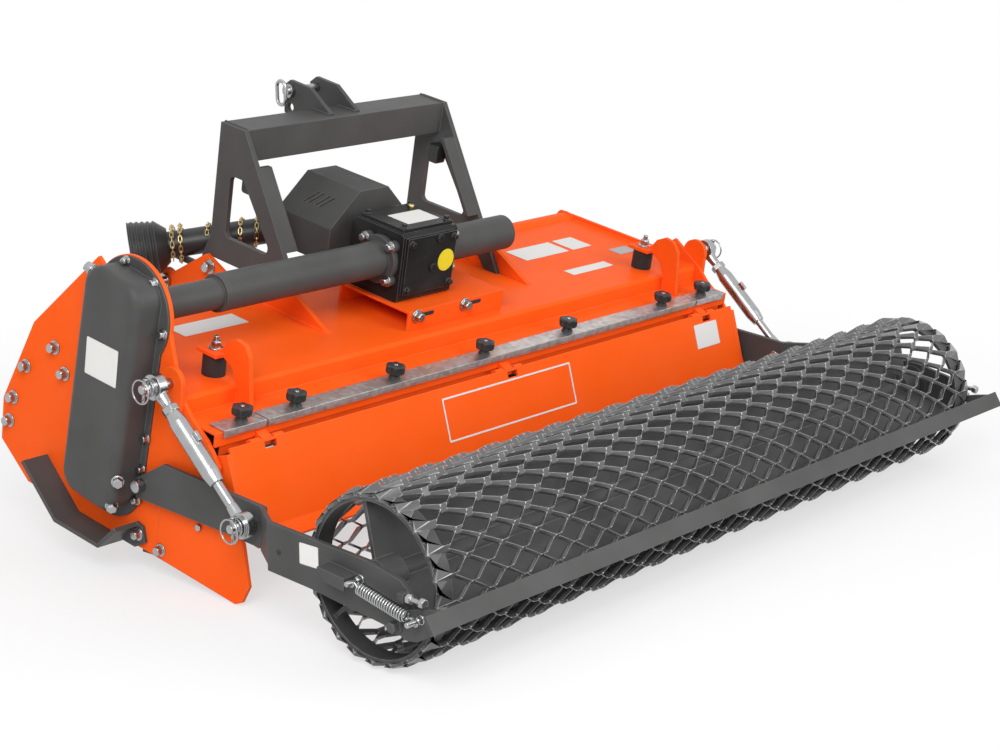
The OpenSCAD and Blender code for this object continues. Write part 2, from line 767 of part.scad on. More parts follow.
// Corner of the mesh to the left or right of a joint, or of the cage's end beyond the last row
function left_of(i, k) = i < 0 ? at_end(-1, k) : at_mesh(i, k, 1);
function right_of(i, k) = i > rows - 1 ? at_end(1, k) : at_mesh(i, k, 0);
cage_quads = concat(
  [for (i = [-1 : rows - 2], j = [0 : mesh_round - 1]) let (k = 2 * j + (i + 2) % 2)
    [left_of(i, k), at_mesh(i + 1, k + 1, 3), right_of(i + 2, k), at_mesh(i + 1, k - 1, 2)]],
  [for (i = [0 : rows - 2], j = [0 : mesh_round - 1]) let (k = 2 * j + i % 2)
    [at_mesh(i, k, 1), at_mesh(i, k, 2), at_mesh(i + 1, k + 1, 0), at_mesh(i + 1, k + 1, 3)]],
  [for (i = [0 : rows - 2], j = [0 : mesh_round - 1]) let (k = 2 * j + i % 2)
    [at_mesh(i, k, 3), at_mesh(i, k, 1), at_mesh(i + 1, k - 1, 2), at_mesh(i + 1, k - 1, 0)]],
  [for (j = [0 : mesh_round - 1]) let (k = 2 * j)
    [at_end(-1, k), at_end(-1, k + 1), at_mesh(0, k, 2), at_mesh(0, k, 0)]],
  [for (j = [0 : mesh_round - 1]) let (k = 2 * j)
    [at_end(-1, k - 1), at_end(-1, k), at_mesh(0, k, 0), at_mesh(0, k, 3)]],
  [for (j = [0 : mesh_round - 1]) let (k = 2 * j + 1)
    [at_mesh(rows - 1, k, 1), at_mesh(rows - 1, k, 2), at_end(1, k + 1), at_end(1, k)]],
  [for (j = [0 : mesh_round - 1]) let (k = 2 * j + 1)
    [at_mesh(rows - 1, k, 3), at_mesh(rows - 1, k, 1), at_end(1, k), at_end(1, k - 1)]]
);
cage_walls = concat(
  [for (m = [0 : mesh_total - 1], e = [[0, 2], [2, 1], [1, 3], [3, 0]])
    [4 * m + e[0], 4 * m + e[1], skin + 4 * m + e[1], skin + 4 * m + e[0]]],
  [for (k = [0 : 2 * mesh_round - 1])
    [at_end(-1, k + 1), at_end(-1, k), skin + at_end(-1, k), skin + at_end(-1, k + 1)]],
  [for (k = [0 : 2 * mesh_round - 1])
    [at_end(1, k), at_end(1, k + 1), skin + at_end(1, k + 1), skin + at_end(1, k)]]
);
cage_faces = [
  for (q = cage_quads) each [[q[0], q[1], q[2]], [q[0], q[2], q[3]]],
  for (q = cage_quads)
    each [[skin + q[2], skin + q[1], skin + q[0]], [skin + q[3], skin + q[2], skin + q[0]]],
  for (q = cage_walls) each [[q[0], q[1], q[2]], [q[0], q[2], q[3]]]
];
module roller_cage() {
  color(grey) translate([0, rotor_y - roller_back, roller_r]) polyhedron(cage_points, cage_faces);
}

// Shaft of the roller with three vanes along it, and a hoop round the vanes at each end
vane_t = 8;
vane_turn = -12;
module roller_hoops() {
  color(grey) translate([0, rotor_y - roller_back, roller_r]) {
    bar_x(-arm_out + 3, arm_out - 3, 0, 0, roller_shaft_r);
    for (a = [vane_turn : 120 : vane_turn + 240]) rotate([a, 0, 0])
      translate([-roller_half + 16, -vane_t / 2, 0]) cube([2 * roller_half - 32, vane_t, hoop_r - 5]);
    for (side = [-1, 1]) {
      difference() {
        bar_x(side * (roller_half - 46), side * (roller_half - 6), 0, 0, hoop_r);
        bar_x(side * (roller_half - 47), side * (roller_half - 5), 0, 0, hoop_r - 8);
      }
      bar_x(side * (roller_half - 60), side * (roller_half - 10), 0, 0, 36);
    }
  }
}

module rotor_shaft() {
  step = 2 * (half_width - 70) / (flange_count - 1);
  color(grey) on_casing() {
    bar_x(-half_width + 20, half_width - 20, 0, 0, rotor_r);
    bar_x(-half_width - plate_t - 10, plate_out + 36, 0, 0, 29);
    for (i = [0 : flange_count - 1])
      bar_x(-half_width + 70 + i * step - 6, -half_width + 70 + i * step + 6, 0, 0, 110);
  }
}

module rotor_blades() {
  step = 2 * (half_width - 70) / (flange_count - 1);
  color(grey) on_casing() for (i = [0 : flange_count - 1], n = [0 : 3]) {
    s = n % 2 == 0 ? 1 : -1;
    translate([-half_width + 70 + i * step, 0, 0])
      rotate([180 - pitch + n * 90 + (i % (flange_count - 1)) * 90 / (flange_count - 1), 0, 0])
      mirror([s < 0 ? 1 : 0, 0, 0]) translate([6, 0, 0]) {
        translate([0, -22, 62]) cube([8, 40, tip_r - 62]);
        translate([0, -22, tip_r - 8]) cube([52, 40, 8]);
      }
  }
}

// Depth link: barrel and upper eye on the casing's pin, rod with the lower eye on the arm
module link_place(side) {
  translate([side * eye_x, rotor_y - low_eye_back + link_run, low_eye_z + link_rise])
    rotate([link_angle, 0, 0]) children();
}
link_eye_r = 25;
link_rod_r = 9.5;
// Eye of a link about its pin: flat ring, raised ball and tapering neck
module link_eye(hole_r, shank) {
  difference() {
    union() {
      translate([-10, 0, 0]) rotate([0, 90, 0]) cylinder(h = 20, r = link_eye_r);
      translate([-15, 0, 0]) rotate([0, 90, 0]) cylinder(h = 30, r = hole_r + 5);
      translate([0, 4 - link_eye_r, 0]) rotate([90, 0, 0]) cylinder(h = 24, r1 = 13, r2 = link_rod_r + 1);
    }
    translate([-16, 0, 0]) rotate([0, 90, 0]) cylinder(h = 32, r = hole_r);
  }
  translate([0, -link_eye_r - 12, 0]) rotate([90, 0, 0]) cylinder(h = shank, r = link_rod_r);
}
// Depth link: barrel with its lock nut and turning lug
barrel_from = 62;
barrel_len = 166;
module link_barrel(side) {
  color(zinc) link_place(side) {
    link_eye(link_pin_r + 0.5, 30);
    translate([0, -50, 0]) rotate([90, 0, 0]) cylinder(h = 13, r = 17, $fn = 6);
    difference() {
      union() {
        translate([0, -barrel_from, 0]) rotate([90, 0, 0]) cylinder(h = 24, r1 = 13, r2 = 18);
        translate([0, -barrel_from - 24, 0]) rotate([90, 0, 0]) cylinder(h = barrel_len - 48, r = 18);
        translate([0, -barrel_from - barrel_len + 24, 0]) rotate([90, 0, 0])
          cylinder(h = 24, r1 = 18, r2 = 14);
        translate([-4, -barrel_from - barrel_len / 2, 14]) cube([8, 20, 14]);
      }
      translate([0, -barrel_from - 8, 0]) rotate([90, 0, 0]) cylinder(h = barrel_len, r = link_rod_r + 0.5);
    }
  }
}
module link_rod(side) {
  color(zinc) link_place(side) translate([0, -link_len, 0]) rotate([180, 0, 0])
    link_eye(link_pin_r + 4.5, 172);
}
module link_barrel_left() { link_barrel(-1); }
module link_barrel_right() { link_barrel(1); }
module link_rod_left() { link_rod(-1); }
module link_rod_right() { link_rod(1); }

side_plate_left();
side_plate_right();
rear_guards();
hood_deck();
front_tube();
hitch_brackets();
hitch_pins();
headstock_leg_left();
headstock_leg_right();
headstock_beam();
top_link_ears();
top_link_pin();
drive_tube();
stub_tube();
gearbox();
gearbox_pedestal();
input_shaft();
input_guard();
chain_case();
skids();
link_ears();
clamp_strips();
clamp_knobs();
grid_brackets();
grid_buffers();
stone_grid();
rotor_bearing();
driveline_tube();
driveline_bells();
driveline_yoke();
hinge_brackets();
rear_door();
roller_arm_left();
roller_arm_right();
arm_pivots();
scraper_bar();
scraper_springs();
roller_bearings();
roller_cage();
roller_hoops();
rotor_shaft();
rotor_blades();
link_barrel_left();
link_barrel_right();
link_rod_left();
link_rod_right();
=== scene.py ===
"""Looks of the stone burier: finishes for the solids, and the small pieces that ride on them."""
import json
import logging
import math
from dataclasses import dataclass, field
from enum import Enum
from typing import Any, ClassVar, Sequence, Union

import bpy
import numpy as np
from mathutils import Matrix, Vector


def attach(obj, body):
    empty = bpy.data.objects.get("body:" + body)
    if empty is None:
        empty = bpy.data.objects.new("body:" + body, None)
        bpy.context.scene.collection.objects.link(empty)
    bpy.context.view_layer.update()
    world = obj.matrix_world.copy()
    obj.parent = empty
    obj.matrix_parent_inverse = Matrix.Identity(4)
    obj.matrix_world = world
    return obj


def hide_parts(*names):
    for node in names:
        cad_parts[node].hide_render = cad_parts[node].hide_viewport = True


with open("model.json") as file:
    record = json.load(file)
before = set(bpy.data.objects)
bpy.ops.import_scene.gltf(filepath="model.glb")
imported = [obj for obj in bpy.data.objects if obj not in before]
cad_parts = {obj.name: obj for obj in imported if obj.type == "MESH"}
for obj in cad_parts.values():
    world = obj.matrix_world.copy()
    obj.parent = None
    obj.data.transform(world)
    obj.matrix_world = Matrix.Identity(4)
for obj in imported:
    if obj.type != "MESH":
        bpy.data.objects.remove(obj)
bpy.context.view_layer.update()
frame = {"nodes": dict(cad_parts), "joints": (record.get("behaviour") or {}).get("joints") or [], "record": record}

log = logging.getLogger("stone_burier")
MM = 0.001
TURN = 2.0 * math.pi
ACROSS, AHEAD, UP = np.eye(3)
BACK = -AHEAD
MIRROR = np.array([-1, 1, 1])
Pair = tuple[float, float]
Triple = tuple[float, float, float]


# Places and directions


@dataclass(frozen=True)
class Casing:
    """The casing's own level view, in millimetres from the rotor axis, parked nose up."""

    pitch: float = math.radians(10.3)
    axis: Triple = tuple(next(
        joint["pos_m"] for joint in frame["joints"] if joint["name"] == "rotor_spin"
    ))
    drive: Pair = (-23.0, 343.0)
    deck: float = 214.0
    box_cover: float = -92.0
    box_lid: float = 421.0

    def place(self, points: np.ndarray) -> np.ndarray:
        """Turns level points by the parking pitch about X and moves them to the rotor axis.

        Args:
            points: array of rows x (right), u (forward), w (up) in millimetres.
        Returns:
            Array of rows x, y, z in metres.
        """
        c, s = math.cos(self.pitch), math.sin(self.pitch)
        turn = np.array([[1, 0, 0], [0, c, s], [0, -s, c]])
        return points @ turn * MM + np.array(self.axis)


@dataclass(frozen=True)
class Floor:
    """Level view of the roller and its arms: x, then y from the rotor axis, then height."""

    arm_out: float = 921.0

    def place(self, points: np.ndarray) -> np.ndarray:
        """Turns x, y behind the rotor and height in millimetres into metres."""
        return points * MM + np.array([0.0, CASING.axis[1], 0.0])


@dataclass(frozen=True)
class DoorFace:
    """The rear door's slope in the casing's view, measured from its hinge down and inward."""

    hinge: Pair = (-291.0, 146.0)
    lean: float = math.radians(25)
    face: float = -15.0

    def down(self) -> np.ndarray:
        """Direction down the slope."""
        return np.array([0, -math.sin(self.lean), -math.cos(self.lean)])

    def inward(self) -> np.ndarray:
        """Direction square to the slope, into the casing."""
        return np.array([0, math.cos(self.lean), -math.sin(self.lean)])

    def at(self, x: float, down: float, inward: float) -> np.ndarray:
        """A place so far along, down and inward."""
        return np.array([x, *self.hinge]) + down * self.down() + inward * self.inward()


CASING = Casing()
FLOOR = Floor()
DOOR = DoorFace()


class Body(str, Enum):
    """Bodies of the frame that pieces ride on."""

    CASING = "casing"
    DOOR = "door"
    FRAME = "roller_frame"
    ROLLER = "roller"

    def view(self) -> Union[Casing, Floor]:
        """The level view in which this body's pieces are drawn."""
        return FLOOR if self in (Body.FRAME, Body.ROLLER) else CASING


# Surfaces as arrays


@dataclass
class Surface:
    """A mesh as arrays: points, faces of four corners and faces of three."""

    points: np.ndarray
    quads: np.ndarray = field(default_factory=lambda: np.zeros((0, 4), int))
    tris: np.ndarray = field(default_factory=lambda: np.zeros((0, 3), int))

    def moved(self, points: np.ndarray) -> "Surface":
        """The same faces on other points."""
        return Surface(points, self.quads, self.tris)

    def shifted(self, way: Any) -> "Surface":
        """The surface moved along a direction."""
        return self.moved(self.points + np.asarray(way, float))

    def flipped(self) -> "Surface":
        """The same surface with its faces turned to the other side."""
        return Surface(self.points, self.quads[:, ::-1], self.tris[:, ::-1])

    def mesh(self, name: str, crease: float) -> bpy.types.Mesh:
        """Writes the arrays into a Blender mesh, smooth except at sharp edges.

        Args:
            name: name of the mesh.
            crease: angle in degrees above which an edge stays sharp.
        Returns:
            The mesh.
        """
        mesh = bpy.data.meshes.new(name)
        corners = np.concatenate([self.quads.ravel(), self.tris.ravel()]).astype(np.int32)
        four, three = len(self.quads), len(self.tris)
        starts = np.concatenate([np.arange(four) * 4, 4 * four + np.arange(three) * 3]).astype(np.int32)
        mesh.vertices.add(len(self.points))
        mesh.vertices.foreach_set("co", self.points.astype(np.float32).ravel())
        mesh.loops.add(len(corners))
        mesh.loops.foreach_set("vertex_index", corners)
        mesh.polygons.add(four + three)
        mesh.polygons.foreach_set("loop_start", starts)
        mesh.polygons.foreach_set("use_smooth", np.ones(four + three, bool))
        mesh.update(calc_edges=True)
        mesh.validate()
        mesh.set_sharp_from_angle(angle=math.radians(crease))
        return mesh


def join(parts: Sequence[Surface]) -> Surface:
    """Puts several surfaces into one, shifting each one's corner numbers past the last.

    Args:
        parts: the surfaces.
    Returns:
        One surface.
    """
    starts = np.cumsum([0] + [len(p.points) for p in parts[:-1]])
    return Surface(
        np.concatenate([p.points for p in parts]),
        np.concatenate([p.quads + s for p, s in zip(parts, starts)]),
        np.concatenate([p.tris + s for p, s in zip(parts, starts)]),
    )


def mirrored(shape: Surface) -> Surface:
    """The shape and its mirror image in X, the image's faces turned to stay outward."""
    return join([shape, shape.moved(shape.points * MIRROR).flipped()])


def unit(ways: np.ndarray) -> np.ndarray:
    """Each row divided by its own length."""
    return ways / np.linalg.norm(ways, axis=-1, keepdims=True)


def grid(points: np.ndarray, around: bool = False, along: bool = False) -> Surface:
    """A surface of two parameters: rows run along, columns run around.

    Args:
        points: array of rows by columns by 3.
        around: whether the last column meets the first.
        along: whether the last row meets the first.
    Returns:
        The surface, each cell one face of four corners.
    """
    rows, cols = points.shape[:2]
    i = np.arange(rows if along else rows - 1)
    j = np.arange(cols if around else cols - 1)
    a, b = np.meshgrid(i, j, indexing="ij")
    a1, b1 = (a + 1) % rows, (b + 1) % cols
    quads = np.stack([a * cols + b, a * cols + b1, a1 * cols + b1, a1 * cols + b], -1)
    return Surface(points.reshape(-1, 3), quads.reshape(-1, 4))


def capped(body: Surface, count: int, ends: np.ndarray) -> Surface:
    """Closes the first ring and the last of a carried outline, each by a fan about its own middle.

    Args:
        body: the open surface, ring after ring.
        count: points in a ring.
        ends: middles of the first ring and of the last.
    Returns:
        The closed surface.
    """
    total = len(body.points)
    first = np.arange(count)
    last = first + total - count
    low = np.stack([np.full(count, total), np.roll(first, -1), first], -1)
    high = np.stack([np.full(count, total + 1), last, np.roll(last, -1)], -1)
    return Surface(np.concatenate([body.points, ends]), body.quads, np.concatenate([low, high]))


def stack(outline: np.ndarray, rings: Sequence[Pair]) -> Surface:
    """A flat outline carried up Z: ring k is the outline times its size, at its height, ends closed.

    Args:
        outline: array of x, y round the origin, anticlockwise.
        rings: size and height of each ring, from the bottom.
    Returns:
        The surface.
    """
    sizes, heights = np.array(rings, float).T
    flat = outline[None, :, :] * sizes[:, None, None]
    tall = np.broadcast_to(heights[:, None, None], (len(rings), len(outline), 1))
    body = grid(np.concatenate([flat, tall], 2), around=True)
    return capped(body, len(outline), np.outer(heights[[0, -1]], UP))


def slab(outline: np.ndarray, thick: float) -> Surface:
    """A flat piece up Z: the outline carried straight up by its thickness."""
    return stack(outline, [(1, 0), (1, thick)])


def ring_outline(count: int, lobes: int = 0, depth: float = 0.0) -> np.ndarray:
    """Unit circle whose radius is 1 plus depth times the cosine of lobes times the angle.

    Args:
        count: points round it.
        lobes: number of lobes.
        depth: height of a lobe.
    Returns:
        Array of x, y.
    """
    a = np.arange(count) * TURN / count
    r = 1 + depth * np.cos(lobes * a)
    return np.stack([r * np.cos(a), r * np.sin(a)], -1)


def box_outline(half_a: float, half_b: float, corner: float, steps: int = 4) -> np.ndarray:
    """Rectangle with quarter-circle corners, each worked out as an arc about its own centre.

    Args:
        half_a: half length along X.
        half_b: half length along Y.
        corner: radius of the corners.
        steps: points on each corner.
    Returns:
        Array of x, y.
    """
    a = np.radians(np.arange(4)[:, None] * 90 + np.linspace(0, 90, steps)).ravel()
    x = np.repeat([1, -1, -1, 1], steps) * (half_a - corner) + corner * np.cos(a)
    y = np.repeat([1, 1, -1, -1], steps) * (half_b - corner) + corner * np.sin(a)
    return np.stack([x, y], -1)


def tube(path: np.ndarray, radius: Any, sides: int, hint: Any, closed: bool = False) -> Surface:
    """A round section carried along a path, square to its run, with closed ends.

    The section's first axis is the run crossed with the hint, and its second is square to both.

    Args:
        path: array of points.
        radius: one radius, or one for each point.
        sides: points round the section.
        hint: direction that no stretch of the path runs along.
        closed: whether the path is a loop.
    Returns:
        The surface.
    """
    run = unit(np.roll(path, -1, 0) - np.roll(path, 1, 0) if closed else np.gradient(path, axis=0))
    side = unit(np.cross(run, hint))
    rise = np.cross(run, side)
    a = np.arange(sides)[:, None] * TURN / sides
    r = np.broadcast_to(radius, len(path))[:, None, None]
    rings = path[:, None] + r * (side[:, None] * np.cos(a) + rise[:, None] * np.sin(a))
    body = grid(rings, around=True, along=closed)
    return body if closed else capped(body, sides, path[[0, -1]])


def loop(straight: float, radius: float, wire: float, steps: int, sides: int = 10) -> Surface:
    """A wire link: two half circles joined by straight stretches along X.

    Args:
        straight: length of a straight stretch, 0 for a round ring.
        radius: radius of the half circles.
        wire: radius of the wire.
        steps: points on each half circle.
        sides: points round the wire.
    Returns:
        The link, lying flat about the origin.
    """
    a = np.linspace(-math.pi / 2, math.pi / 2, steps, endpoint=straight > 0)
    a = np.concatenate([a, a + math.pi])
    x = radius * np.cos(a) + np.repeat([straight / 2, -straight / 2], steps)
    return tube(np.stack([x, radius * np.sin(a), 0 * a], -1), wire, sides, UP, closed=True)


def bolt_head(across: float, washer: float) -> Surface:
    """A hexagon head on a washer: a six-sided outline stacked with a chamfered top.

    Args:
        across: width over the corners.
        washer: radius of the washer.
    Returns:
        The surface, in the same unit, up Z from its seat.
    """
    r, base = across / 2, 0.14 * across
    disc = stack(ring_outline(20), [(washer, 0.0), (washer, 0.75 * base), (0.94 * washer, base)])
    head = stack(ring_outline(6), [(r, base - 0.02 * r), (r, base + r), (0.86 * r, base + 1.16 * r)])
    crown = stack(ring_outline(16), [(0.86 * r, base + r), (0.8 * r, base + 1.24 * r)])
    return join([disc, head, crown])


def laid(shape: Surface, place: Any, along: Any, up: Any) -> Surface:
    """The shape with its X along one direction and its Y along another, square to it.

    Args:
        shape: the shape.
        place: where its origin goes.
        along: unit direction of its X.
        up: unit direction of its Y.
    Returns:
        The shape in its place.
    """
    return shape.moved(shape.points @ np.stack([along, up, np.cross(along, up)])).shifted(place)


def copies(shape: Surface, turns: np.ndarray, places: np.ndarray) -> Surface:
    """Copies of a shape, each turned by its own matrix and put in its own place, as one array.

    Args:
        shape: the shape.
        turns: array of 3 by 3 matrices whose columns are the carried X, Y and Z.
        places: array of points.
    Returns:
        All copies as one surface.
    """
    points = np.einsum("kab,nb->kna", turns, shape.points) + places[:, None, :]
    shift = np.arange(len(places))[:, None, None] * len(shape.points)
    return Surface(
        points.reshape(-1, 3),
        (shape.quads[None] + shift).reshape(-1, 4),
        (shape.tris[None] + shift).reshape(-1, 3),
    )


def spread(shape: Surface, places: Any, ways: Any, spin: float = 0.0) -> Surface:
    """Copies of a shape at many places, its Z along each one's direction.

    Args:
        shape: the shape, built up Z from the origin.
        places: array of points.
        ways: one direction, or one for each place.
        spin: turn of each copy about its own Z, in radians.
    Returns:
        All copies as one surface.
    """
    places = np.atleast_2d(np.asarray(places, float))
    z = unit(np.atleast_2d(np.asarray(ways, float)))
    x = unit(np.cross(np.where(np.abs(z[:, [0]]) > 0.9, AHEAD, ACROSS), z))
    y = np.cross(z, x)
    c, s = math.cos(spin), math.sin(spin)
    turns = np.stack([x * c + y * s, y * c - x * s, z], -1)
    return copies(shape, np.broadcast_to(turns, (len(places), 3, 3)), places)


# Shader nodes


class Value:
    """A socket whose arithmetic adds Math nodes to its tree."""

    def __init__(self, tree: "Tree", socket: Any) -> None:
        """Keeps the tree and the socket."""
        self.tree = tree
        self.socket = socket

    def _math(self, operation: str, first: Any, second: Any) -> "Value":
        """Adds one Math node."""
        return self.tree.node("Math", {0: first, 1: second}, operation=operation)

    def __add__(self, other: Any) -> "Value":
        """Sum."""
        return self._math("ADD", self, other)

    __radd__ = __add__

    def __sub__(self, other: Any) -> "Value":
        """Difference."""
        return self._math("SUBTRACT", self, other)

    def __rsub__(self, other: Any) -> "Value":
        """Difference from a number."""
        return self._math("SUBTRACT", other, self)

    def __mul__(self, other: Any) -> "Value":
        """Product."""
        return self._math("MULTIPLY", self, other)

    __rmul__ = __mul__

    def over(self, edge: float, width: float) -> "Value":
        """Smooth step from 0 to 1 about an edge."""
        ends = {"From Min": edge - width / 2, "From Max": edge + width / 2}
        return self.tree.node("MapRange", {"Value": self, **ends}, interpolation_type="SMOOTHSTEP")

    def clamped(self) -> "Value":
        """The value held between 0 and 1."""
        return self.tree.node("Clamp", {"Value": self})


class Tree:
    """Node tree of one material or of the world."""

    def __init__(self, tree: bpy.types.NodeTree) -> None:
        """Empties the tree."""
        self.tree = tree
        tree.nodes.clear()

    def node(self, kind: str, inputs: dict[Any, Any], out: Any = 0, **settings: Any) -> Value:
        """Adds a node, sets it and links it.

        Args:
            kind: Blender's node type, without the words that all of them start with.
            inputs: values or links by socket name or number.
            out: name or number of the output that is handed back.
            settings: properties of the node.
        Returns:
            The output.
        """
        made = self.tree.nodes.new("ShaderNode" + kind)
        for key, value in settings.items():
            setattr(made, key, value)
        for key, value in inputs.items():
            if isinstance(value, Value):
                self.tree.links.new(value.socket, made.inputs[key])
            else:
                made.inputs[key].default_value = value
        return Value(self, made.outputs[out] if made.outputs else None)

    def mix(self, factor: Any, first: Any, second: Any) -> Value:
        """Mix of two colours, of which the second has the factor as its share."""
        return self.node("Mix", {0: factor, 6: first, 7: second}, out=2, data_type="RGBA")

    def noise(self, scale: float, detail: float = 3.0) -> Value:
        """Noise from 0 to 1 on the piece's own coordinates, with so many lumps in a metre."""
        place = self.node("TexCoord", {}, out="Object")
        return self.node("TexNoise", {"Vector": place, "Scale": scale, "Detail": detail})

    def edges(self, radius: float) -> tuple[Value, Value]:
        """Rounded normals and a mask of the edges that they round.

        Args:
            radius: radius of the rounding.
        Returns:
            The normal, and 1 minus its dot product with the face's own normal.
        """
        soft = self.node("Bevel", {"Radius": radius}, samples=6)
        hard = self.node("NewGeometry", {}, out="True Normal")
        dot = self.node("VectorMath", {0: soft, 1: hard}, out="Value", operation="DOT_PRODUCT")
        return soft, 1 - dot


# Finishes


@dataclass(frozen=True)
class Finish:
    """A finish with mottled colour, uneven gloss, fine bump and a painted highlight along the edges."""

    name: str
    slot: str
    colour: Triple
    rough: float
    metal: float = 0.0
    coat: float = 0.0
    shine: float = 0.5
    mottle: float = 0.08
    mottle_scale: float = 9.0
    grain_scale: float = 700.0
    grain: float = 0.05
    grain_depth: float = 0.0006
    rounding: float = 0.0025
    # share of painted highlight: the colour is lightened along the edges to stand for glints on their rounding
    painted_edge_highlight: float = 0.25
    _made: ClassVar[dict[str, bpy.types.Material]] = {}

    def material(self) -> bpy.types.Material:
        """The finish's material, made once."""
        if self.name not in Finish._made:
            made = bpy.data.materials.new(self.name)
            made.use_nodes = True
            tree = Tree(made.node_tree)
            tree.node("OutputMaterial", {"Surface": self.shader(tree)})
            Finish._made[self.name] = made
        return Finish._made[self.name]

    def lighter(self, share: float) -> tuple[float, ...]:
        """The colour moved towards white by a share."""
        return (*(c + (1 - c) * share for c in self.colour), 1.0)

    def darker(self, share: float) -> tuple[float, ...]:
        """The colour moved towards black by a share."""
        return (*(c * (1 - share) for c in self.colour), 1.0)

    def base(self, tree: Tree, edge: Value) -> Value:
        """Base colour: soft patches either side of the colour, with a painted highlight that lightens it along the
        edges.

        Args:
            tree: the material's tree.
            edge: mask of the edges.
        Returns:
            The colour.
        """
        patches = tree.noise(self.mottle_scale)
        flat = tree.mix(patches, self.darker(self.mottle), self.lighter(self.mottle * 0.35))
        # painted highlight: the edge mask lightens the colour where glints would catch the rounded edges
        return tree.mix(edge.over(0.12, 0.2) * self.painted_edge_highlight, flat, self.lighter(0.45))

    def roughness(self, tree: Tree) -> Value:
        """Roughness that wanders about its value by a seventh."""
        return tree.noise(self.mottle_scale * 3.1) * (0.3 * self.rough) + 0.85 * self.rough

    def shader(self, tree: Tree) -> Value:
        """The whole shader: colour and gloss over a fine grain on rounded edges.

        Args:
            tree: the material's tree.
        Returns:
            The shader's output.
        """
        soft, edge = tree.edges(self.rounding)
        bump = tree.node("Bump", {
            "Strength": self.grain,
            "Distance": self.grain_depth,
            "Height": tree.noise(self.grain_scale, 2.0),
            "Normal": soft,
        })
        return tree.node("BsdfPrincipled", {
            "Base Color": self.base(tree, edge),
            "Roughness": self.roughness(tree),
            "Metallic": self.metal,
            "Coat Weight": self.coat,
            "Coat Roughness": 0.12,
            "Specular IOR Level": self.shine,
            "Normal": bump,
        })


@dataclass(frozen=True)
class Spangled(Finish):
    """Galvanised sheet: flat crystals of slightly different grey."""

    crystal: float = 90.0
    bloom: Triple = (0.62, 0.56, 0.36)

    def base(self, tree: Tree, edge: Value) -> Value:
        """Crystals from Voronoi cells, each of its own grey, with a faint yellow bloom."""
        place = tree.node("TexCoord", {}, out="Object")
        cells = tree.node("TexVoronoi", {"Vector": place, "Scale": self.crystal}, out="Color")
        grey = tree.node("SeparateColor", {"Color": cells})
        flat = tree.mix(grey, self.darker(0.22), self.lighter(0.18))
        return tree.mix(tree.noise(14.0).over(0.62, 0.2) * 0.4, flat, (*self.bloom, 1.0))


@dataclass(frozen=True)
class Ground(Finish):
    """Paint on a piece that works in the soil, worn to bare steel on its edges and tips."""

    steel: Triple = (0.32, 0.31, 0.30)

    def base(self, tree: Tree, edge: Value) -> Value:
        """Paint, with scuffed edges where noise and the edge mask meet."""
        paint = super().base(tree, edge)
        wear = (edge.over(0.1, 0.12) * tree.noise(60.0).over(0.5, 0.25)) * 0.7
        return tree.mix(wear, paint, (*self.steel, 1.0))


class Finishes(Enum):
    """The finishes of the machine."""

    ORANGE = Finish(
        "orange_gloss", "orange_paint", (0.97, 0.106, 0.002), 0.4,
        shine=0.05, mottle=0.05, grain=0.03, painted_edge_highlight=0.16,
    )
    GREY = Finish(
        "grey_satin", "grey_paint", (0.056, 0.056, 0.055), 0.44, shine=0.15, mottle=0.1, painted_edge_highlight=0.22,
    )
    # painted highlight: the edge share is at full, lightening the strands' edges to stand for their glints
    CAGE = Ground(
        "grey_cage", "grey_paint", (0.062, 0.062, 0.063), 0.26,
        coat=0.4, mottle=0.12, painted_edge_highlight=1.0, rounding=0.0015,
    )
    # painted shade: the roller's hoops and inner vanes get a darker grey than the cage, for the shadow inside the
    # drum
    SHADED_DRUM = Ground(
        "grey_inside_shaded", "grey_paint", (0.022, 0.022, 0.0215), 0.5, shine=0.2, mottle=0.25, painted_edge_highlight=0.3,
    )
    STEEL = Ground(
        "blade_steel", "blade_steel", (0.10, 0.10, 0.102), 0.45, metal=0.2, shine=0.3, painted_edge_highlight=0.3,
    )
    ZINC = Finish(
        "bright_zinc", "zinc", (0.43, 0.435, 0.44), 0.27, metal=1.0, mottle=0.2, mottle_scale=40, grain=0.04,
    )
    SHEET = Spangled("galvanised_sheet", "zinc", (0.50, 0.51, 0.50), 0.36, metal=0.9)
    BRASS = Finish("yellow_zinc", "zinc", (0.66, 0.50, 0.20), 0.3, metal=1.0, mottle=0.2, mottle_scale=60)
    CAST = Finish(
        "black_casting", "gearbox_black", (0.005, 0.005, 0.0053), 0.26,
        shine=0.16, grain_scale=420, grain=0.12,
    )
    PLASTIC = Finish(
        "black_plastic", "black_plastic", (0.010, 0.010, 0.011), 0.40, shine=0.34, grain_scale=900,
    )
    RUBBER = Finish(
        "buffer_rubber", "rubber", (0.013, 0.013, 0.013), 0.62, shine=0.3, grain_scale=500, grain=0.15,
    )
    LABEL = Finish(
        "blank_label", "orange_paint", (0.74, 0.73, 0.71), 0.42, shine=0.2, mottle=0.05, painted_edge_highlight=0.0,
    )
    DISC = Finish(
        "blank_disc", "gearbox_black", (0.80, 0.66, 0.02), 0.42, shine=0.2, mottle=0.05, painted_edge_highlight=0.0,
    )
    NAME = Finish("blank_plate", "zinc", (0.42, 0.42, 0.42), 0.42, metal=0.7, painted_edge_highlight=0.0)


# Pieces


def piece(
    name: str,
    shape: Surface,
    finish: Finishes,
    body: Body = Body.CASING,
    replaces: Sequence[str] = (),
    crease: float = 32.0,
) -> bpy.types.Object:
    """Makes one piece of the scene and hangs it on its body.

    Args:
        name: name of the piece.
        shape: its surface in millimetres, in its body's level view.
        finish: its finish.
        body: body that it rides on.
        replaces: solids that it stands for.
        crease: angle above which its edges stay sharp.
    Returns:
        The object.
    """
    placed = shape.moved(body.view().place(shape.points))
    made = bpy.data.objects.new(name, placed.mesh(name, crease))
    made.data.materials.append(finish.value.material())
    bpy.context.scene.collection.objects.link(made)
    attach(made, body.value)
    if replaces:
        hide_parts(*replaces)
    log.info("%s: %d points, rides on %s", name, len(shape.points), body.value)
    return made


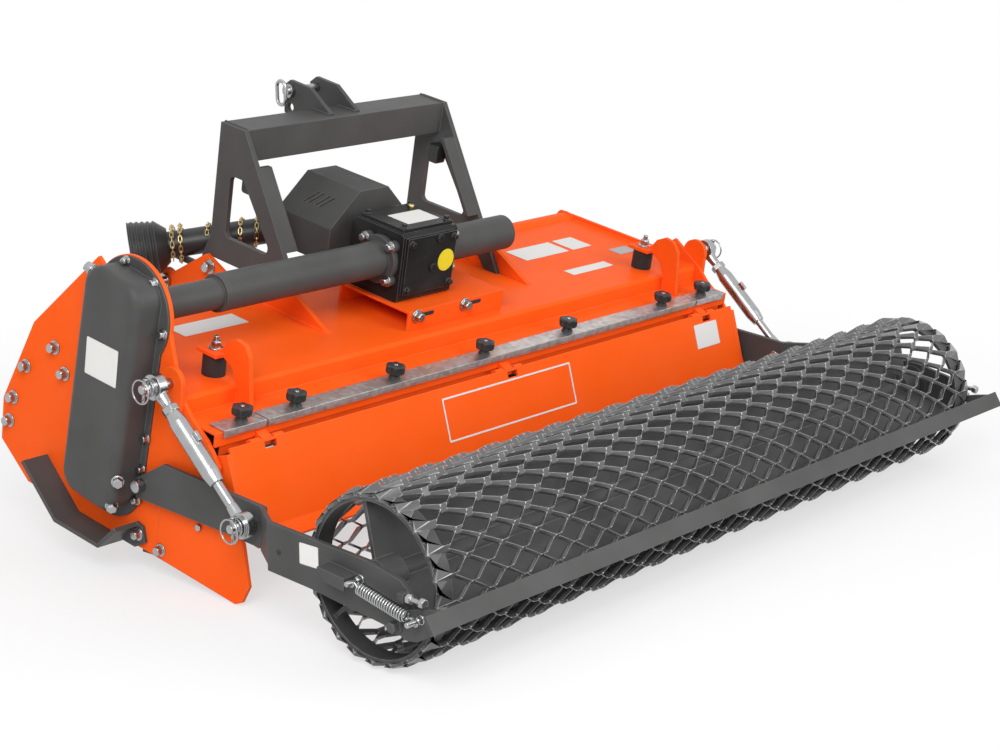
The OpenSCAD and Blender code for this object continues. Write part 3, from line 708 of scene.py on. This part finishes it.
@dataclass
class Solids:
    """Finishes of the solids that stay in view."""

    special: dict[str, Finishes] = field(default_factory=lambda: {
        "clamp_strips": Finishes.SHEET,
        "roller_hoops": Finishes.SHADED_DRUM,
    })
    by_slot: dict[str, Finishes] = field(default_factory=lambda: {
        "orange_paint": Finishes.ORANGE,
        "grey_paint": Finishes.GREY,
        "blade_steel": Finishes.STEEL,
        "zinc": Finishes.ZINC,
        "gearbox_black": Finishes.CAST,
        "black_plastic": Finishes.PLASTIC,
        "rubber": Finishes.RUBBER,
    })

    def dress(self) -> None:
        """Gives each solid the finish of its slot, or its own."""
        slots = {row["node"]: row["material_slot"] for row in frame["record"]["subparts"]}
        for name, solid in frame["nodes"].items():
            finish = self.special.get(name, self.by_slot[slots[name]])
            solid.data.materials.clear()
            solid.data.materials.append(finish.value.material())


@dataclass
class RollerCage:
    """Expanded-metal tube: staggered six-cornered meshes whose joints tilt out into teeth."""

    half: float = 898.0
    over_teeth: float = 166.0
    tilt: float = 8.5
    sink: float = 0.6
    strand: float = 8.0
    rounds: int = 21
    pairs: int = 19
    hole_along: float = 0.84
    hole_around: float = 0.76
    joint: float = 0.18
    end_cut: float = 0.3
    back: float = 777.0
    soft_edge: float = 0.0012

    def corners(self, inward: float) -> np.ndarray:
        """Corner points of one skin of the tube.

        Mesh row i and column j has its middle at row i's x and at angle 2j plus i's stagger. Its corners
        lie left, right, two ahead and two behind, those ahead sunk and those behind raised by the tilt.
        Two end rings follow.

        Args:
            inward: depth of this skin under the outer one.
        Returns:
            Array of points: six for each mesh, then the left end and the right end.
        """
        rows, turn = 2 * self.pairs, math.pi / self.rounds
        step = 2 * self.half / (rows + 1)
        tube_r = self.over_teeth - self.tilt - inward
        along = np.array([-self.hole_along, self.hole_along, *(2 * (-self.joint, self.joint))])
        ahead = np.array([0, 0, 1, 1, -1, -1])
        i, j, c = np.meshgrid(np.arange(rows), np.arange(self.rounds), np.arange(6), indexing="ij")
        x = -self.half + (i + 1 + along[c]) * step
        a = (2 * j + i % 2 + ahead[c] * self.hole_around) * turn
        r = tube_r - np.where(ahead > 0, self.sink, ahead)[c] * self.tilt
        skins = [np.stack([x, r * np.sin(a), r * np.cos(a)], -1).reshape(-1, 3)]
        k = np.arange(2 * self.rounds)
        for side, cut_at in ((-1, 0), (1, 1)):
            x = side * (self.half - np.where(k % 2 == cut_at, self.end_cut * step, 0.0))
            skins.append(np.stack([x, tube_r * np.sin(k * turn), tube_r * np.cos(k * turn)], -1))
        return np.concatenate(skins)

    def faces(self, skin: int) -> np.ndarray:
        """Faces of both skins and of the walls of each hole and end.

        Args:
            skin: points in one skin.
        Returns:
            Array of four corners a face.
        """
        rows, rounds = 2 * self.pairs, self.rounds
        around = 2 * rounds

        def mesh_at(i: np.ndarray, k: np.ndarray, c: int) -> np.ndarray:
            """Number of a mesh's corner."""
            return 6 * (i * rounds + (k % around) // 2) + c

        def end_at(side: int, k: np.ndarray) -> np.ndarray:
            """Number of a point on an end ring."""
            return 6 * rows * rounds + (around if side > 0 else 0) + k % around

        def cells(low: int, high: int) -> tuple[np.ndarray, np.ndarray]:
            """Rows and angles of the joints from row low up to high."""
            i, j = np.meshgrid(np.arange(low, high), np.arange(rounds), indexing="ij")
            return i, 2 * j + i % 2

        i, k = cells(-1, rows - 1)
        left = np.where(i < 0, end_at(-1, k), mesh_at(np.maximum(i, 0), k, 1))
        right = np.where(i + 2 > rows - 1, end_at(1, k), mesh_at(np.minimum(i + 2, rows - 1), k, 0))
        quads = [
            (left, mesh_at(i + 1, k + 1, 4), mesh_at(i + 1, k + 1, 5), right),
            (left, right, mesh_at(i + 1, k - 1, 3), mesh_at(i + 1, k - 1, 2)),
        ]
        i, k = cells(0, rows - 1)
        quads += [
            (mesh_at(i, k, 1), mesh_at(i, k, 3), mesh_at(i + 1, k + 1, 0), mesh_at(i + 1, k + 1, 4)),
            (mesh_at(i, k, 5), mesh_at(i, k, 1), mesh_at(i + 1, k - 1, 2), mesh_at(i + 1, k - 1, 0)),
        ]
        k = 2 * np.arange(rounds)
        quads += [
            (end_at(-1, k), end_at(-1, k + 1), mesh_at(0, k, 2), mesh_at(0, k, 0)),
            (end_at(-1, k - 1), end_at(-1, k), mesh_at(0, k, 0), mesh_at(0, k, 4)),
        ]
        k, last = k + 1, rows - 1
        quads += [
            (mesh_at(last, k, 1), mesh_at(last, k, 3), end_at(1, k + 1), end_at(1, k)),
            (mesh_at(last, k, 5), mesh_at(last, k, 1), end_at(1, k), end_at(1, k - 1)),
        ]
        outer = np.concatenate([np.stack(q, -1).reshape(-1, 4) for q in quads])
        m = 6 * np.arange(rows * rounds)[:, None]
        rim = np.array([0, 2, 3, 1, 5, 4])
        k = np.arange(around)
        a = np.concatenate([(m + rim).ravel(), end_at(-1, k + 1), end_at(1, k)])
        b = np.concatenate([(m + np.roll(rim, -1)).ravel(), end_at(-1, k), end_at(1, k + 1)])
        walls = np.stack([a, b, skin + b, skin + a], -1)
        return np.concatenate([outer, skin + outer[:, ::-1], walls])

    def build(self) -> None:
        """Makes the cage about the roller's axis."""
        outer, inner = self.corners(0.0), self.corners(self.strand)
        shape = Surface(np.concatenate([outer, inner]), self.faces(len(outer)))
        shape = shape.shifted([0, -self.back, self.over_teeth])
        made = piece("expanded_cage", shape, Finishes.CAGE, Body.ROLLER, ["roller_cage"], crease=20)
        soft = made.modifiers.new("soft_edges", "BEVEL")
        soft.width = self.soft_edge
        soft.segments = 1
        soft.limit_method = "ANGLE"


@dataclass
class ClampKnobs:
    """Moulded star knobs along the clamping strip."""

    places: tuple[float, ...] = (-745, -602, -322, -44, 237, 588, 745)
    u: float = -256.0
    seat: float = 183.0
    radius: float = 20.0
    lobes: int = 6
    lobe: float = 0.11

    def build(self) -> None:
        """A lobed outline stacked over a round neck, with a dished top."""
        r = self.radius
        rings = [(13, 10), (17, 12), (0.97 * r, 15), (r, 18), (r, 25), (0.94 * r, 28.5)]
        dish = [(0.8 * r, 30), (0.5 * r, 29.2)]
        head = stack(ring_outline(48, self.lobes, self.lobe), rings + dish)
        neck = stack(ring_outline(24), [(13, 0), (13, 2), (10.5, 4), (10.5, 11), (12.5, 12.5)])
        stud = stack(ring_outline(16), [(4.5, 27), (4.5, 30.5), (3.6, 31.2)])
        places = [[x, self.u, self.seat] for x in self.places]
        knobs = spread(join([head, neck]), places, UP, 0.2)
        piece("star_knobs", knobs, Finishes.PLASTIC, replaces=["clamp_knobs"], crease=40)
        piece("knob_studs", spread(stud, places, UP), Finishes.ZINC)


@dataclass
class ScraperSprings:
    """Tension springs beside the roller arms, from the arm's pin to the scraper's."""

    stand_off: float = 24.0
    top: Pair = (-776.0, 176.0)
    end: Pair = (-926.0, 141.0)
    end_step: float = 8.0
    coil_r: float = 10.5
    wire_r: float = 1.9
    turns: int = 21
    steps: int = 14
    hook_r: float = 7.0
    hook_gap: float = 16.0
    hook_start: float = -0.35 * math.pi
    taper: float = 18.0

    def coil(self) -> np.ndarray:
        """Path of the wire: a hook half round the top pin, a helix, and a hook half round the end pin."""
        top, end = np.array(self.top), np.array(self.end)
        span = np.linalg.norm(end - top)
        run = (end - top) / span
        lift = np.array([-run[1], run[0]])
        t = np.linspace(0, 1, self.turns * self.steps + 1)
        r = self.coil_r * np.minimum(1, np.minimum(t, 1 - t) * self.taper)
        a = TURN * self.turns * t
        along = self.hook_gap + (span - 2 * self.hook_gap) * t
        side = top + np.outer(along, run) + np.outer(r * np.sin(a), lift)
        body = np.column_stack([r * np.cos(a), side])
        h = np.linspace(self.hook_start, math.pi, self.steps)
        past, over = np.outer(-self.hook_r * np.cos(h), run), np.outer(self.hook_r * np.sin(h), lift)
        start, finish = (np.pad(hook, ((0, 0), (1, 0))) for hook in (top - past + over, end + past + over))
        return np.concatenate([start[:0:-1], body[2:-2], finish[1:]])

    def build(self) -> None:
        """Makes the coils and their pins."""
        out = FLOOR.arm_out
        wire = tube(self.coil(), self.wire_r, 8, (0.05, 0.9, 0.2)).shifted([out + self.stand_off, 0, 0])
        pin = join([stack(ring_outline(16), [(5, 0), (5, 36), (4.4, 37)]), bolt_head(16, 9)])
        pins = spread(pin, [[out, *self.top], [out + self.end_step, *self.end]], ACROSS)
        shape = mirrored(join([wire, pins]))
        piece("scraper_coils", shape, Finishes.ZINC, Body.FRAME, ["scraper_springs"], crease=40)


def both(places: Any) -> np.ndarray:
    """The places and their mirror images in X."""
    return np.concatenate([places, np.asarray(places, float) * MIRROR])


def circle(x: float, middle: Pair, radius: float, angles: Any) -> np.ndarray:
    """Places round a middle in the plane of one x.

    Args:
        x: place of the plane.
        middle: the circle's middle.
        radius: its radius.
        angles: angles in degrees from forward to up.
    Returns:
        Array of points.
    """
    a = np.radians(angles)
    return np.stack([0 * a + x, middle[0] + radius * np.cos(a), middle[1] + radius * np.sin(a)], -1)


@dataclass(frozen=True)
class BoltRow:
    """Bolts of one size that share a body, along one way or else outward along X."""

    name: str
    places: Any
    across: float
    way: Any = None
    finish: Finishes = Finishes.ZINC
    body: Body = Body.CASING
    washer: float = 0.68
    spin: float = 0.3

    def build(self) -> None:
        """Makes the heads with their washers."""
        ways = np.sign(np.asarray(self.places)[:, [0]]) * ACROSS if self.way is None else self.way
        shape = spread(bolt_head(self.across, self.across * self.washer), self.places, ways, self.spin)
        piece(self.name, shape, self.finish, self.body)


@dataclass
class Fasteners:
    """Hexagon bolts with washers on the casing, the case rim, the gearbox and the bearing."""

    plate_out: float = 833.0
    tube_end: float = 825.0
    rim: float = 838.0
    rim_r: float = 98.0
    flange_r: float = 54.0
    box_half: float = 98.0
    bolt_half: float = 66.0
    box_x: float = -68.0
    bearing_face: float = 855.0
    bearing_r: float = 70.0
    buffer: Triple = (689.0, -108.0, 268.0)

    def plate_rows(self) -> list[BoltRow]:
        """Bolts of the side plates, rear guards and skids."""
        out = self.plate_out
        front = [[out, 202, 188], [out, 289, 117], [out, 324, 35], [out, 332, -20]]
        return [
            BoltRow("front_plate_bolts", both(front), 22),
            BoltRow("inner_plate_bolt", [[-out, 166, 144]], 22),
            BoltRow("rear_guard_bolts", both([[out, -160, -112], [out, -262, 112]]), 20),
            BoltRow("low_guard_bolts", both([[out - 6, -262, -20]]), 16),
            BoltRow("skid_bolts", both([[out + 8, -100, -100]]), 20),
            BoltRow("tube_end_bolts", [[self.tube_end, 206, 193]], 20, -ACROSS),
        ]

    def case_rows(self) -> list[BoltRow]:
        """Bolts of the chain case's rim."""
        top = circle(-self.rim, CASING.drive, self.rim_r, [35, 76, 128, 188])
        sides = ((-96, 104), (-91, 36), (-84, -33), (80, 210), (86, 90), (84, -30))
        low = [[-self.rim, u, w] for u, w in sides]
        return [BoltRow("case_rim_bolts", np.concatenate([top, low]), 16)]

    def box_rows(self) -> list[BoltRow]:
        """Bolts of the gearbox's flanges and covers, and of the rotor's bearing."""
        flange = np.concatenate([
            circle(self.box_x + side * self.box_half, CASING.drive, self.flange_r, [45, 135, 225, 315])
            for side in (-1, 1)
        ])
        columns = [self.box_x - self.bolt_half, self.box_x + self.bolt_half]
        cover = [[x, CASING.box_cover, w] for x in columns for w in (288, 392)]
        lid = [[x, u, CASING.box_lid] for x in columns for u in (-64, 46)]
        bearing = circle(self.bearing_face, (0.0, 0.0), self.bearing_r, np.arange(30, 390, 60))
        return [
            BoltRow("flange_bolts", flange, 18),
            BoltRow("cover_bolts", cover, 13, BACK, Finishes.CAST),
            BoltRow("lid_bolts", lid, 13, UP, Finishes.CAST),
            BoltRow("bearing_bolts", bearing, 18),
        ]

    def deck_rows(self) -> list[BoltRow]:
        """Bolts of the pedestal, the headstock feet and the rubber buffers."""
        return [
            BoltRow("pedestal_bolts", [[12, -136, 246], [-140, -136, 246]], 22, BACK),
            BoltRow("headstock_bolts", both([[331, 312, 243], [331, 215, 225]]), 24),
            BoltRow("buffer_bolts", both([self.buffer]), 22, UP),
        ]

    def build(self) -> None:
        """Makes every row, and the studs that stand out of the buffers' nuts."""
        for row in self.plate_rows() + self.case_rows() + self.box_rows() + self.deck_rows():
            row.build()
        stud = stack(ring_outline(14), [(5.5, 8), (5.5, 26), (4.6, 27)])
        piece("buffer_studs", spread(stud, both([self.buffer]), UP), Finishes.ZINC)


@dataclass
class DoorSeal:
    """Turned-in lip of the ledge, behind the top edge of the rear door."""

    half: float = 808.0
    front: float = -267.0
    top: float = 172.0
    low: float = 128.0
    thick: float = 3.0

    def build(self) -> None:
        """Makes the lip."""
        lip = slab(box_outline(self.half, (self.top - self.low) / 2, 1), self.thick)
        placed = laid(lip, [0, self.front, (self.top + self.low) / 2], ACROSS, UP)
        piece("door_lip", placed, Finishes.ORANGE)


@dataclass
class DoorEnds:
    """Turned-in ends of the rear door, each close beside a side plate."""

    start: float = 812.0
    width: float = 10.0
    inward: Pair = (DOOR.face, 33.0)
    down: Pair = (6.0, 156.0)

    def build(self) -> None:
        """Makes both ends, square to the slope of the door."""
        flat = slab(box_outline(np.ptp(self.down) / 2, np.ptp(self.inward) / 2, 2), self.width)
        place = DOOR.at(self.start, np.mean(self.down), np.mean(self.inward))
        end = laid(flat, place, DOOR.down(), DOOR.inward())
        piece("door_ends", mirrored(end), Finishes.ORANGE, Body.DOOR)


@dataclass
class CasePlugs:
    """Filler, level and drain plugs of the chain case."""

    places: tuple[Triple, ...] = ((-868, 58, 402), (-888, -80, 20), (-884, -62, -38))
    ways: tuple[Triple, ...] = ((-0.25, 0.85, 0.45), (-0.62, -0.78, 0.05), (-0.55, -0.8, -0.2))

    def build(self) -> None:
        """Each is a hexagon on a round neck, out of the case's rounded edge."""
        plug = join([
            stack(ring_outline(20), [(11, -6), (11, 5), (10, 6)]),
            stack(ring_outline(20), [(13, 5), (13, 8), (12, 8.5)]),
            stack(ring_outline(6), [(11, 8), (11, 19), (9.6, 21)]),
        ])
        piece("case_plugs", spread(plug, self.places, self.ways), Finishes.ZINC)


@dataclass
class LinkPins:
    """Bright pins through the eyes of the depth links, each kept by a linch pin with its ring."""

    upper: Pair = (-157.0, 244.0)
    lower: Pair = (-433.0, 189.0)
    start: float = 844.0
    washer: float = 897.0
    keeper: float = 907.0
    end: float = 916.0
    radius: float = 9.8

    def linch(self) -> Surface:
        """A linch pin down Z through a bright pin, with its ring hung on the pin's end."""
        shank = stack(ring_outline(12), [(2.6, -30), (3.6, -27), (3.6, 12), (5, 13), (5, 21), (4, 22)])
        ring = laid(loop(0, 23, 1.9, 20), [9, 0, -4], AHEAD, UP)
        return join([shank, ring])

    def pair(self, middle: Pair) -> Surface:
        """Pins, washers and linch pins of both sides about one middle."""
        r, length = self.radius, self.end - self.start
        pin = stack(ring_outline(24), [(r, 0), (r, length - 3), (r - 1.6, length)])
        washer = stack(ring_outline(28), [(17, 0), (17, 2.4), (16.4, 3)])
        return mirrored(join([
            spread(pin, [self.start, *middle], ACROSS),
            spread(washer, [self.washer, *middle], ACROSS),
            self.linch().shifted([self.keeper, *middle]),
        ]))

    def build(self) -> None:
        """Makes the upper pins on the casing and the lower ones on the roller's frame."""
        piece("upper_link_pins", self.pair(self.upper), Finishes.ZINC)
        piece("lower_link_pins", self.pair(self.lower), Finishes.ZINC, Body.FRAME)


@dataclass
class HitchTrim:
    """Oval handle of the top pin, linch pins of the lower pins, and plastic pads in the legs' windows."""

    handle: Triple = (-70.0, 412.0, 584.0)
    keeper: Triple = (398.0, 450.0, 165.0)
    pad: Triple = (293.0, 246.0, 448.0)

    def build(self) -> None:
        """Makes the handle, the linch pins and the pads."""
        handle = laid(loop(28, 13, 4.2, 14), self.handle, [0, 0.2, 0.98], [0, -0.98, 0.2])
        piece("top_pin_handle", handle, Finishes.ZINC)
        piece("lower_pin_keepers", mirrored(LinkPins().linch().shifted(self.keeper)), Finishes.ZINC)
        pad = stack(box_outline(22, 17, 6), [(0.9, -15), (1, -12), (1, 12), (0.9, 15)])
        piece("leg_pads", spread(pad, both([self.pad]), ACROSS), Finishes.PLASTIC)


@dataclass
class GearboxTrim:
    """Sight plugs, breather and blank disc of the gearbox."""

    plugs: tuple[Pair, ...] = ((-47.0, 394.0), (-60.0, 330.0))
    breather: Pair = (-20.0, 26.0)
    disc: Pair = (-19.0, 340.0)
    disc_r: float = 25.0

    def build(self) -> None:
        """Makes them on the rear cover and on the lid."""
        cover = CASING.box_cover
        plug = stack(ring_outline(24), [(10, 0), (10, 4), (8.5, 6)])
        piece("sight_plug", spread(plug, [[x, cover, w] for x, w in self.plugs], BACK), Finishes.CAST)
        cap = stack(ring_outline(20), [(5, 0), (5, 3), (7, 4), (7, 8), (5.5, 10)])
        piece("breather", spread(cap, [*self.breather, CASING.box_lid], UP), Finishes.BRASS)
        disc = slab(self.disc_r * ring_outline(48), 0.8)
        piece("blank_disc", spread(disc, [self.disc[0], cover, self.disc[1]], BACK), Finishes.DISC)


@dataclass
class SafetyChain:
    """Thin chain wound about the driveline's guard tube."""

    start: Triple = (-68.0, 214.0, 343.0)
    end: Triple = (-410.0, 486.0, 236.0)
    pitch: float = 11.0
    link: Triple = (8.5, 3.6, 1.35)

    def wound(self, first: float, last: float, turns: float, radius: float) -> Surface:
        """Links along a helix about the line, each turned a quarter from the last.

        Args:
            first: share of the line where the helix starts.
            last: share where it ends.
            turns: number of turns.
            radius: radius of the helix.
        Returns:
            The links.
        """
        a, b = np.array(self.start), np.array(self.end)
        run = unit(b - a)
        side = unit(np.cross(run, UP))
        rise = np.cross(side, run)
        reach = np.linalg.norm(b - a) * (last - first)
        count = int(math.hypot(TURN * radius * turns, reach) / self.pitch)
        number = np.arange(count)[:, None]
        t = (number + 0.5) / count
        out = side * np.cos(TURN * turns * t) + rise * np.sin(TURN * turns * t)
        places = a + (first + (last - first) * t) * (b - a) + radius * out
        ways = unit(np.gradient(places, axis=0))
        flat = unit(out - ways * np.sum(out * ways, 1, keepdims=True))
        up = np.where(number % 2 == 0, flat, np.cross(flat, ways))
        return copies(loop(*self.link, 6, 6), np.stack([ways, up, np.cross(ways, up)], -1), places)

    def build(self) -> None:
        """Makes the stretches inside and outside the left leg."""
        shape = join([self.wound(0.34, 0.62, 3.4, 33.5), self.wound(0.735, 0.80, 1.6, 41.0)])
        piece("safety_chain", shape, Finishes.BRASS)


@dataclass
class Labels:
    """Blank labels and plates where the maker would put its own, and the door's empty frame line."""

    lift: float = 0.3
    case_out: float = 901.0
    thick: float = 0.6
    corner: float = 3.0

    def blank(
        self,
        name: str,
        half: Pair,
        place: Any,
        along: np.ndarray,
        up: np.ndarray,
        finish: Finishes = Finishes.LABEL,
        body: Body = Body.CASING,
    ) -> None:
        """Makes one thin label with round corners.

        Args:
            name: name of the label.
            half: half its length and height.
            place: its middle.
            along: direction of its length.
            up: direction of its height.
            finish: its finish.
            body: body that carries it.
        """
        piece(name, laid(slab(box_outline(*half, self.corner), self.thick), place, along, up), finish, body)

    def frame_line(self, half: Pair, wide: float) -> Surface:
        """A thin rectangular line: outer and inner outlines joined over a low rise."""
        outer = box_outline(*half, 2, 2)
        inner = box_outline(half[0] - wide, half[1] - wide, 1, 2)
        rings = np.stack([outer, outer, inner, inner])
        tall = np.broadcast_to(np.array([0, 0.5, 0.5, 0])[:, None, None], (4, len(outer), 1))
        return grid(np.concatenate([rings, tall], 2), around=True)

    def build(self) -> None:
        """Makes the labels of the casing, the gearbox, the door and the arms."""
        self.blank("case_label", (47, 38), [-self.case_out - self.lift, -22, 250], BACK, UP)
        on_deck = (
            ("deck_label_wide", (80, 35), 532, 91, Finishes.LABEL),
            ("deck_label_square", (36, 35), 664, 92, Finishes.LABEL),
            ("deck_label_long", (76, 16), 555, -53, Finishes.LABEL),
            ("deck_label_left", (88, 28), -520, 98, Finishes.LABEL),
            ("name_plate", (33, 20), 748, -4, Finishes.NAME),
        )
        for name, half, x, u, finish in on_deck:
            self.blank(name, half, [x, u, CASING.deck + self.lift], ACROSS, AHEAD, finish)
        self.blank("gearbox_label", (50, 32), [-58, -19, CASING.box_lid + self.lift], ACROSS, AHEAD)
        arm = [-FLOOR.arm_out - self.lift, -648, 190]
        self.blank("arm_label", (24, 20), arm, BACK, UP, body=Body.FRAME)
        face, rise = DOOR.face - self.lift, -DOOR.down()
        self.blank("door_label", (45, 29), DOOR.at(699, 46, face), ACROSS, rise, body=Body.DOOR)
        line = laid(self.frame_line((209, 47), 4.0), DOOR.at(-21, 64, face), ACROSS, rise)
        piece("door_frame_line", line, Finishes.LABEL, Body.DOOR)


@dataclass
class ScraperTrim:
    """Pivot bolts and stop bolts of the scraper, on both arms."""

    pivot: Triple = (929.0, -868.0, 116.0)
    stop: Triple = (931.0, -894.0, 173.0)
    stop_way: Triple = (0.0, -1.0, -0.02)

    def build(self) -> None:
        """Makes the painted pivots, and the bright stops with their lock nuts and seats."""
        BoltRow("scraper_pivots", both([self.pivot]), 22, None, Finishes.GREY, Body.FRAME).build()
        seat = stack(box_outline(9, 9, 2), [(1, -14), (1, 0)])
        bolt = join([
            stack(ring_outline(14), [(5, 0), (5, 36)]),
            stack(ring_outline(6), [(9.5, 3), (9.5, 12)]),
            stack(ring_outline(6), [(9.5, 34), (9.5, 42), (8.2, 43.5)]),
        ])
        seats, bolts = (mirrored(spread(shape, self.stop, self.stop_way)) for shape in (seat, bolt))
        piece("stop_seats", seats, Finishes.GREY, Body.FRAME)
        piece("stop_bolts", bolts, Finishes.ZINC, Body.FRAME)


@dataclass
class Welds:
    """Rippled weld beads along the seams of the headstock, the tubes and the casing."""

    ripple: float = 5.0
    steps: int = 4
    depth: float = 0.16
    radius: float = 3.0
    tube_radius: float = 3.4

    def swell(self, count: int, radius: float) -> np.ndarray:
        """Radii along a bead, a sine that swells once every ripple."""
        return radius * (1 + self.depth * np.sin(np.arange(count) * TURN / self.steps))

    def bead(self, start: Any, end: Any) -> Surface:
        """A straight bead from one point to another."""
        start, end = np.asarray(start, float), np.asarray(end, float)
        count = max(4, int(np.linalg.norm(end - start) / self.ripple) * self.steps)
        path = start + (end - start) * np.linspace(0, 1, count)[:, None]
        return tube(path, self.swell(count, self.radius), 8, (0.31, 0.53, 0.79))

    def round_bead(self, x: float, middle: Pair, seam_r: float, radius: float) -> Surface:
        """A bead of a given radius round a tube."""
        count = int(TURN * seam_r / self.ripple) * self.steps
        path = circle(x, middle, seam_r, np.arange(count) * 360 / count)
        return tube(path, self.swell(count, radius), 8, ACROSS, closed=True)

    def build(self) -> None:
        """Makes the grey beads and the orange ones."""
        legs = both([[307, 257, 494], [307, 257, 566], [307, 332, 566]])
        grey = [self.bead(legs[k], legs[k + 1]) for k in (0, 1, 3, 4)]
        grey += [self.bead([x, 277, 567], [x, 332, 567]) for x in (-46, -34, 34, 46)]
        grey += [self.round_bead(-616, CASING.drive, 36.0, self.tube_radius)]
        piece("grey_welds", join(grey), Finishes.GREY, crease=60)
        orange = [self.bead([x, -58, 215], [x, 245, 215]) for x in (331, -331)]
        orange += [self.round_bead(x, (245, 195), 31.0, self.radius) for x in (-824, 824)]
        orange += [self.bead([x, -170, CASING.deck], [x, 215, CASING.deck]) for x in (-824, 824)]
        piece("orange_welds", join(orange), Finishes.ORANGE, crease=60)


@dataclass
class HoleShades:
    """Painted shade: thin dark inlays that stand for the slots in the pedestal's rear flange and the small holes
    in the arms.
    """

    thick: float = 0.5
    slot_xs: Pair = (40.0, -112.0)
    flange: Pair = (-136.2, 246.0)
    hole: Pair = (-570.0, 178.0)

    def build(self) -> None:
        """Each is a thin dark inlay with round ends, painted shade in place of an open hole."""
        # painted shade: dark sheets laid on the surface where the open slots and holes would be
        slot = slab(box_outline(26, 4.5, 4.4, 6), self.thick)
        slots = join([laid(slot, [x, *self.flange], ACROSS, UP) for x in self.slot_xs])
        piece("pedestal_slot_shades", slots, Finishes.RUBBER)
        hole = spread(slab(6 * ring_outline(20), self.thick), [FLOOR.arm_out, *self.hole], ACROSS)
        piece("arm_hole_shades", mirrored(hole), Finishes.RUBBER, Body.FRAME)


# Studio


@dataclass(frozen=True)
class Lamp:
    """A soft area lamp aimed at the machine."""

    name: str
    place: Triple
    size: float
    power: float
    aim: Triple = (0.0, 0.0, 0.35)

    def build(self) -> None:
        """Makes the lamp."""
        data = bpy.data.lights.new(self.name, "AREA")
        data.shape = "DISK"
        data.size = self.size
        data.energy = self.power
        made = bpy.data.objects.new(self.name, data)
        made.location = self.place
        made.rotation_euler = (Vector(self.aim) - Vector(self.place)).to_track_quat("-Z", "Y").to_euler()
        bpy.context.scene.collection.objects.link(made)


@dataclass
class Studio:
    """Pale floor, white surround, soft lamps and the camera."""

    camera_place: Triple = (-3.4443, CASING.axis[1] - 3.2966, 1.4612)
    camera_turn: Triple = (75.5, 0.0, -48.9)
    lens: float = 78.4
    surround: float = 0.56
    floor_half: float = 24.0
    floor_drop: float = 0.0008
    floor_grey: float = 0.86
    near_lift: float = 0.62
    fade_at: float = 1.5
    fade_width: float = 1.6
    lamps: tuple[Lamp, ...] = (
        Lamp("key_lamp", (-3.4, -2.4, 3.2), 2.6, 150),
        Lamp("fill_lamp", (1.6, -4.6, 2.2), 3.0, 108),
        Lamp("top_lamp", (0.6, 1.6, 4.6), 3.2, 16),
    )

    def build_camera(self) -> None:
        """Makes the camera at the photograph's place."""
        data = bpy.data.cameras.new("camera")
        data.lens = self.lens
        data.sensor_width = 36.0
        data.clip_end = 60
        made = bpy.data.objects.new("camera", data)
        made.location = self.camera_place
        made.rotation_euler = [math.radians(a) for a in self.camera_turn]
        bpy.context.scene.collection.objects.link(made)
        bpy.context.scene.camera = made

    def seen(self, tree: Tree) -> Value:
        """1 where the eye or a reflection sees the surface, 0 where it only lights."""
        camera, glossy, through = (
            tree.node("LightPath", {}, out=f"Is {ray} Ray") for ray in ("Camera", "Glossy", "Transmission")
        )
        return (camera + glossy + through).clamped()

    def build_floor(self) -> None:
        """Makes the floor: pale, lifted for the eye so that its shadows stay soft, white further out."""
        corners = np.array([[-1, -1, 0], [1, -1, 0], [1, 1, 0], [-1, 1, 0]]) * self.floor_half
        shape = Surface(corners, np.array([[0, 1, 2, 3]])).shifted([0, 0, -self.floor_drop])
        floor = bpy.data.objects.new("floor", shape.mesh("floor", 30))
        made = bpy.data.materials.new("pale_floor")
        made.use_nodes = True
        tree = Tree(made.node_tree)
        matt = tree.node("BsdfDiffuse", {"Color": (*[self.floor_grey] * 3, 1)})
        bright = tree.node("Emission", {"Color": (1, 1, 1, 1), "Strength": 1.0})
        place = tree.node("NewGeometry", {}, out="Position")
        reach = tree.node("VectorMath", {0: place}, out="Value", operation="LENGTH")
        far = reach.over(self.fade_at, self.fade_width)
        lift = (far * (1 - self.near_lift) + self.near_lift).clamped()
        blend = tree.node("MixShader", {0: self.seen(tree) * lift, 1: matt, 2: bright})
        tree.node("OutputMaterial", {"Surface": blend})
        floor.data.materials.append(made)
        bpy.context.scene.collection.objects.link(floor)

    def build_world(self) -> None:
        """Makes the surround: white to the eye and to reflections, softer as a light."""
        world = bpy.data.worlds.new("surround")
        world.use_nodes = True
        tree = Tree(world.node_tree)
        strength = self.seen(tree) * (1 - self.surround) + self.surround
        sky = tree.node("Background", {"Color": (1, 1, 1, 1), "Strength": strength})
        tree.node("OutputWorld", {"Surface": sky})
        bpy.context.scene.world = world
        bpy.context.scene.view_settings.view_transform = "Standard"

    def build(self) -> None:
        """Makes the whole studio."""
        self.build_camera()
        self.build_floor()
        self.build_world()
        for lamp in self.lamps:
            lamp.build()


def main() -> None:
    """Builds the studio, dresses the solids and adds the pieces."""
    logging.basicConfig(level=logging.INFO, format="%(message)s")
    Studio().build()
    Solids().dress()
    assemblies = (
        RollerCage(), ClampKnobs(), ScraperSprings(), Fasteners(), DoorSeal(), DoorEnds(), CasePlugs(),
        LinkPins(), HitchTrim(), GearboxTrim(), SafetyChain(), Labels(), ScraperTrim(), Welds(), HoleShades(),
    )
    for assembly in assemblies:
        assembly.build()


if __name__ == "__main__":
    main()
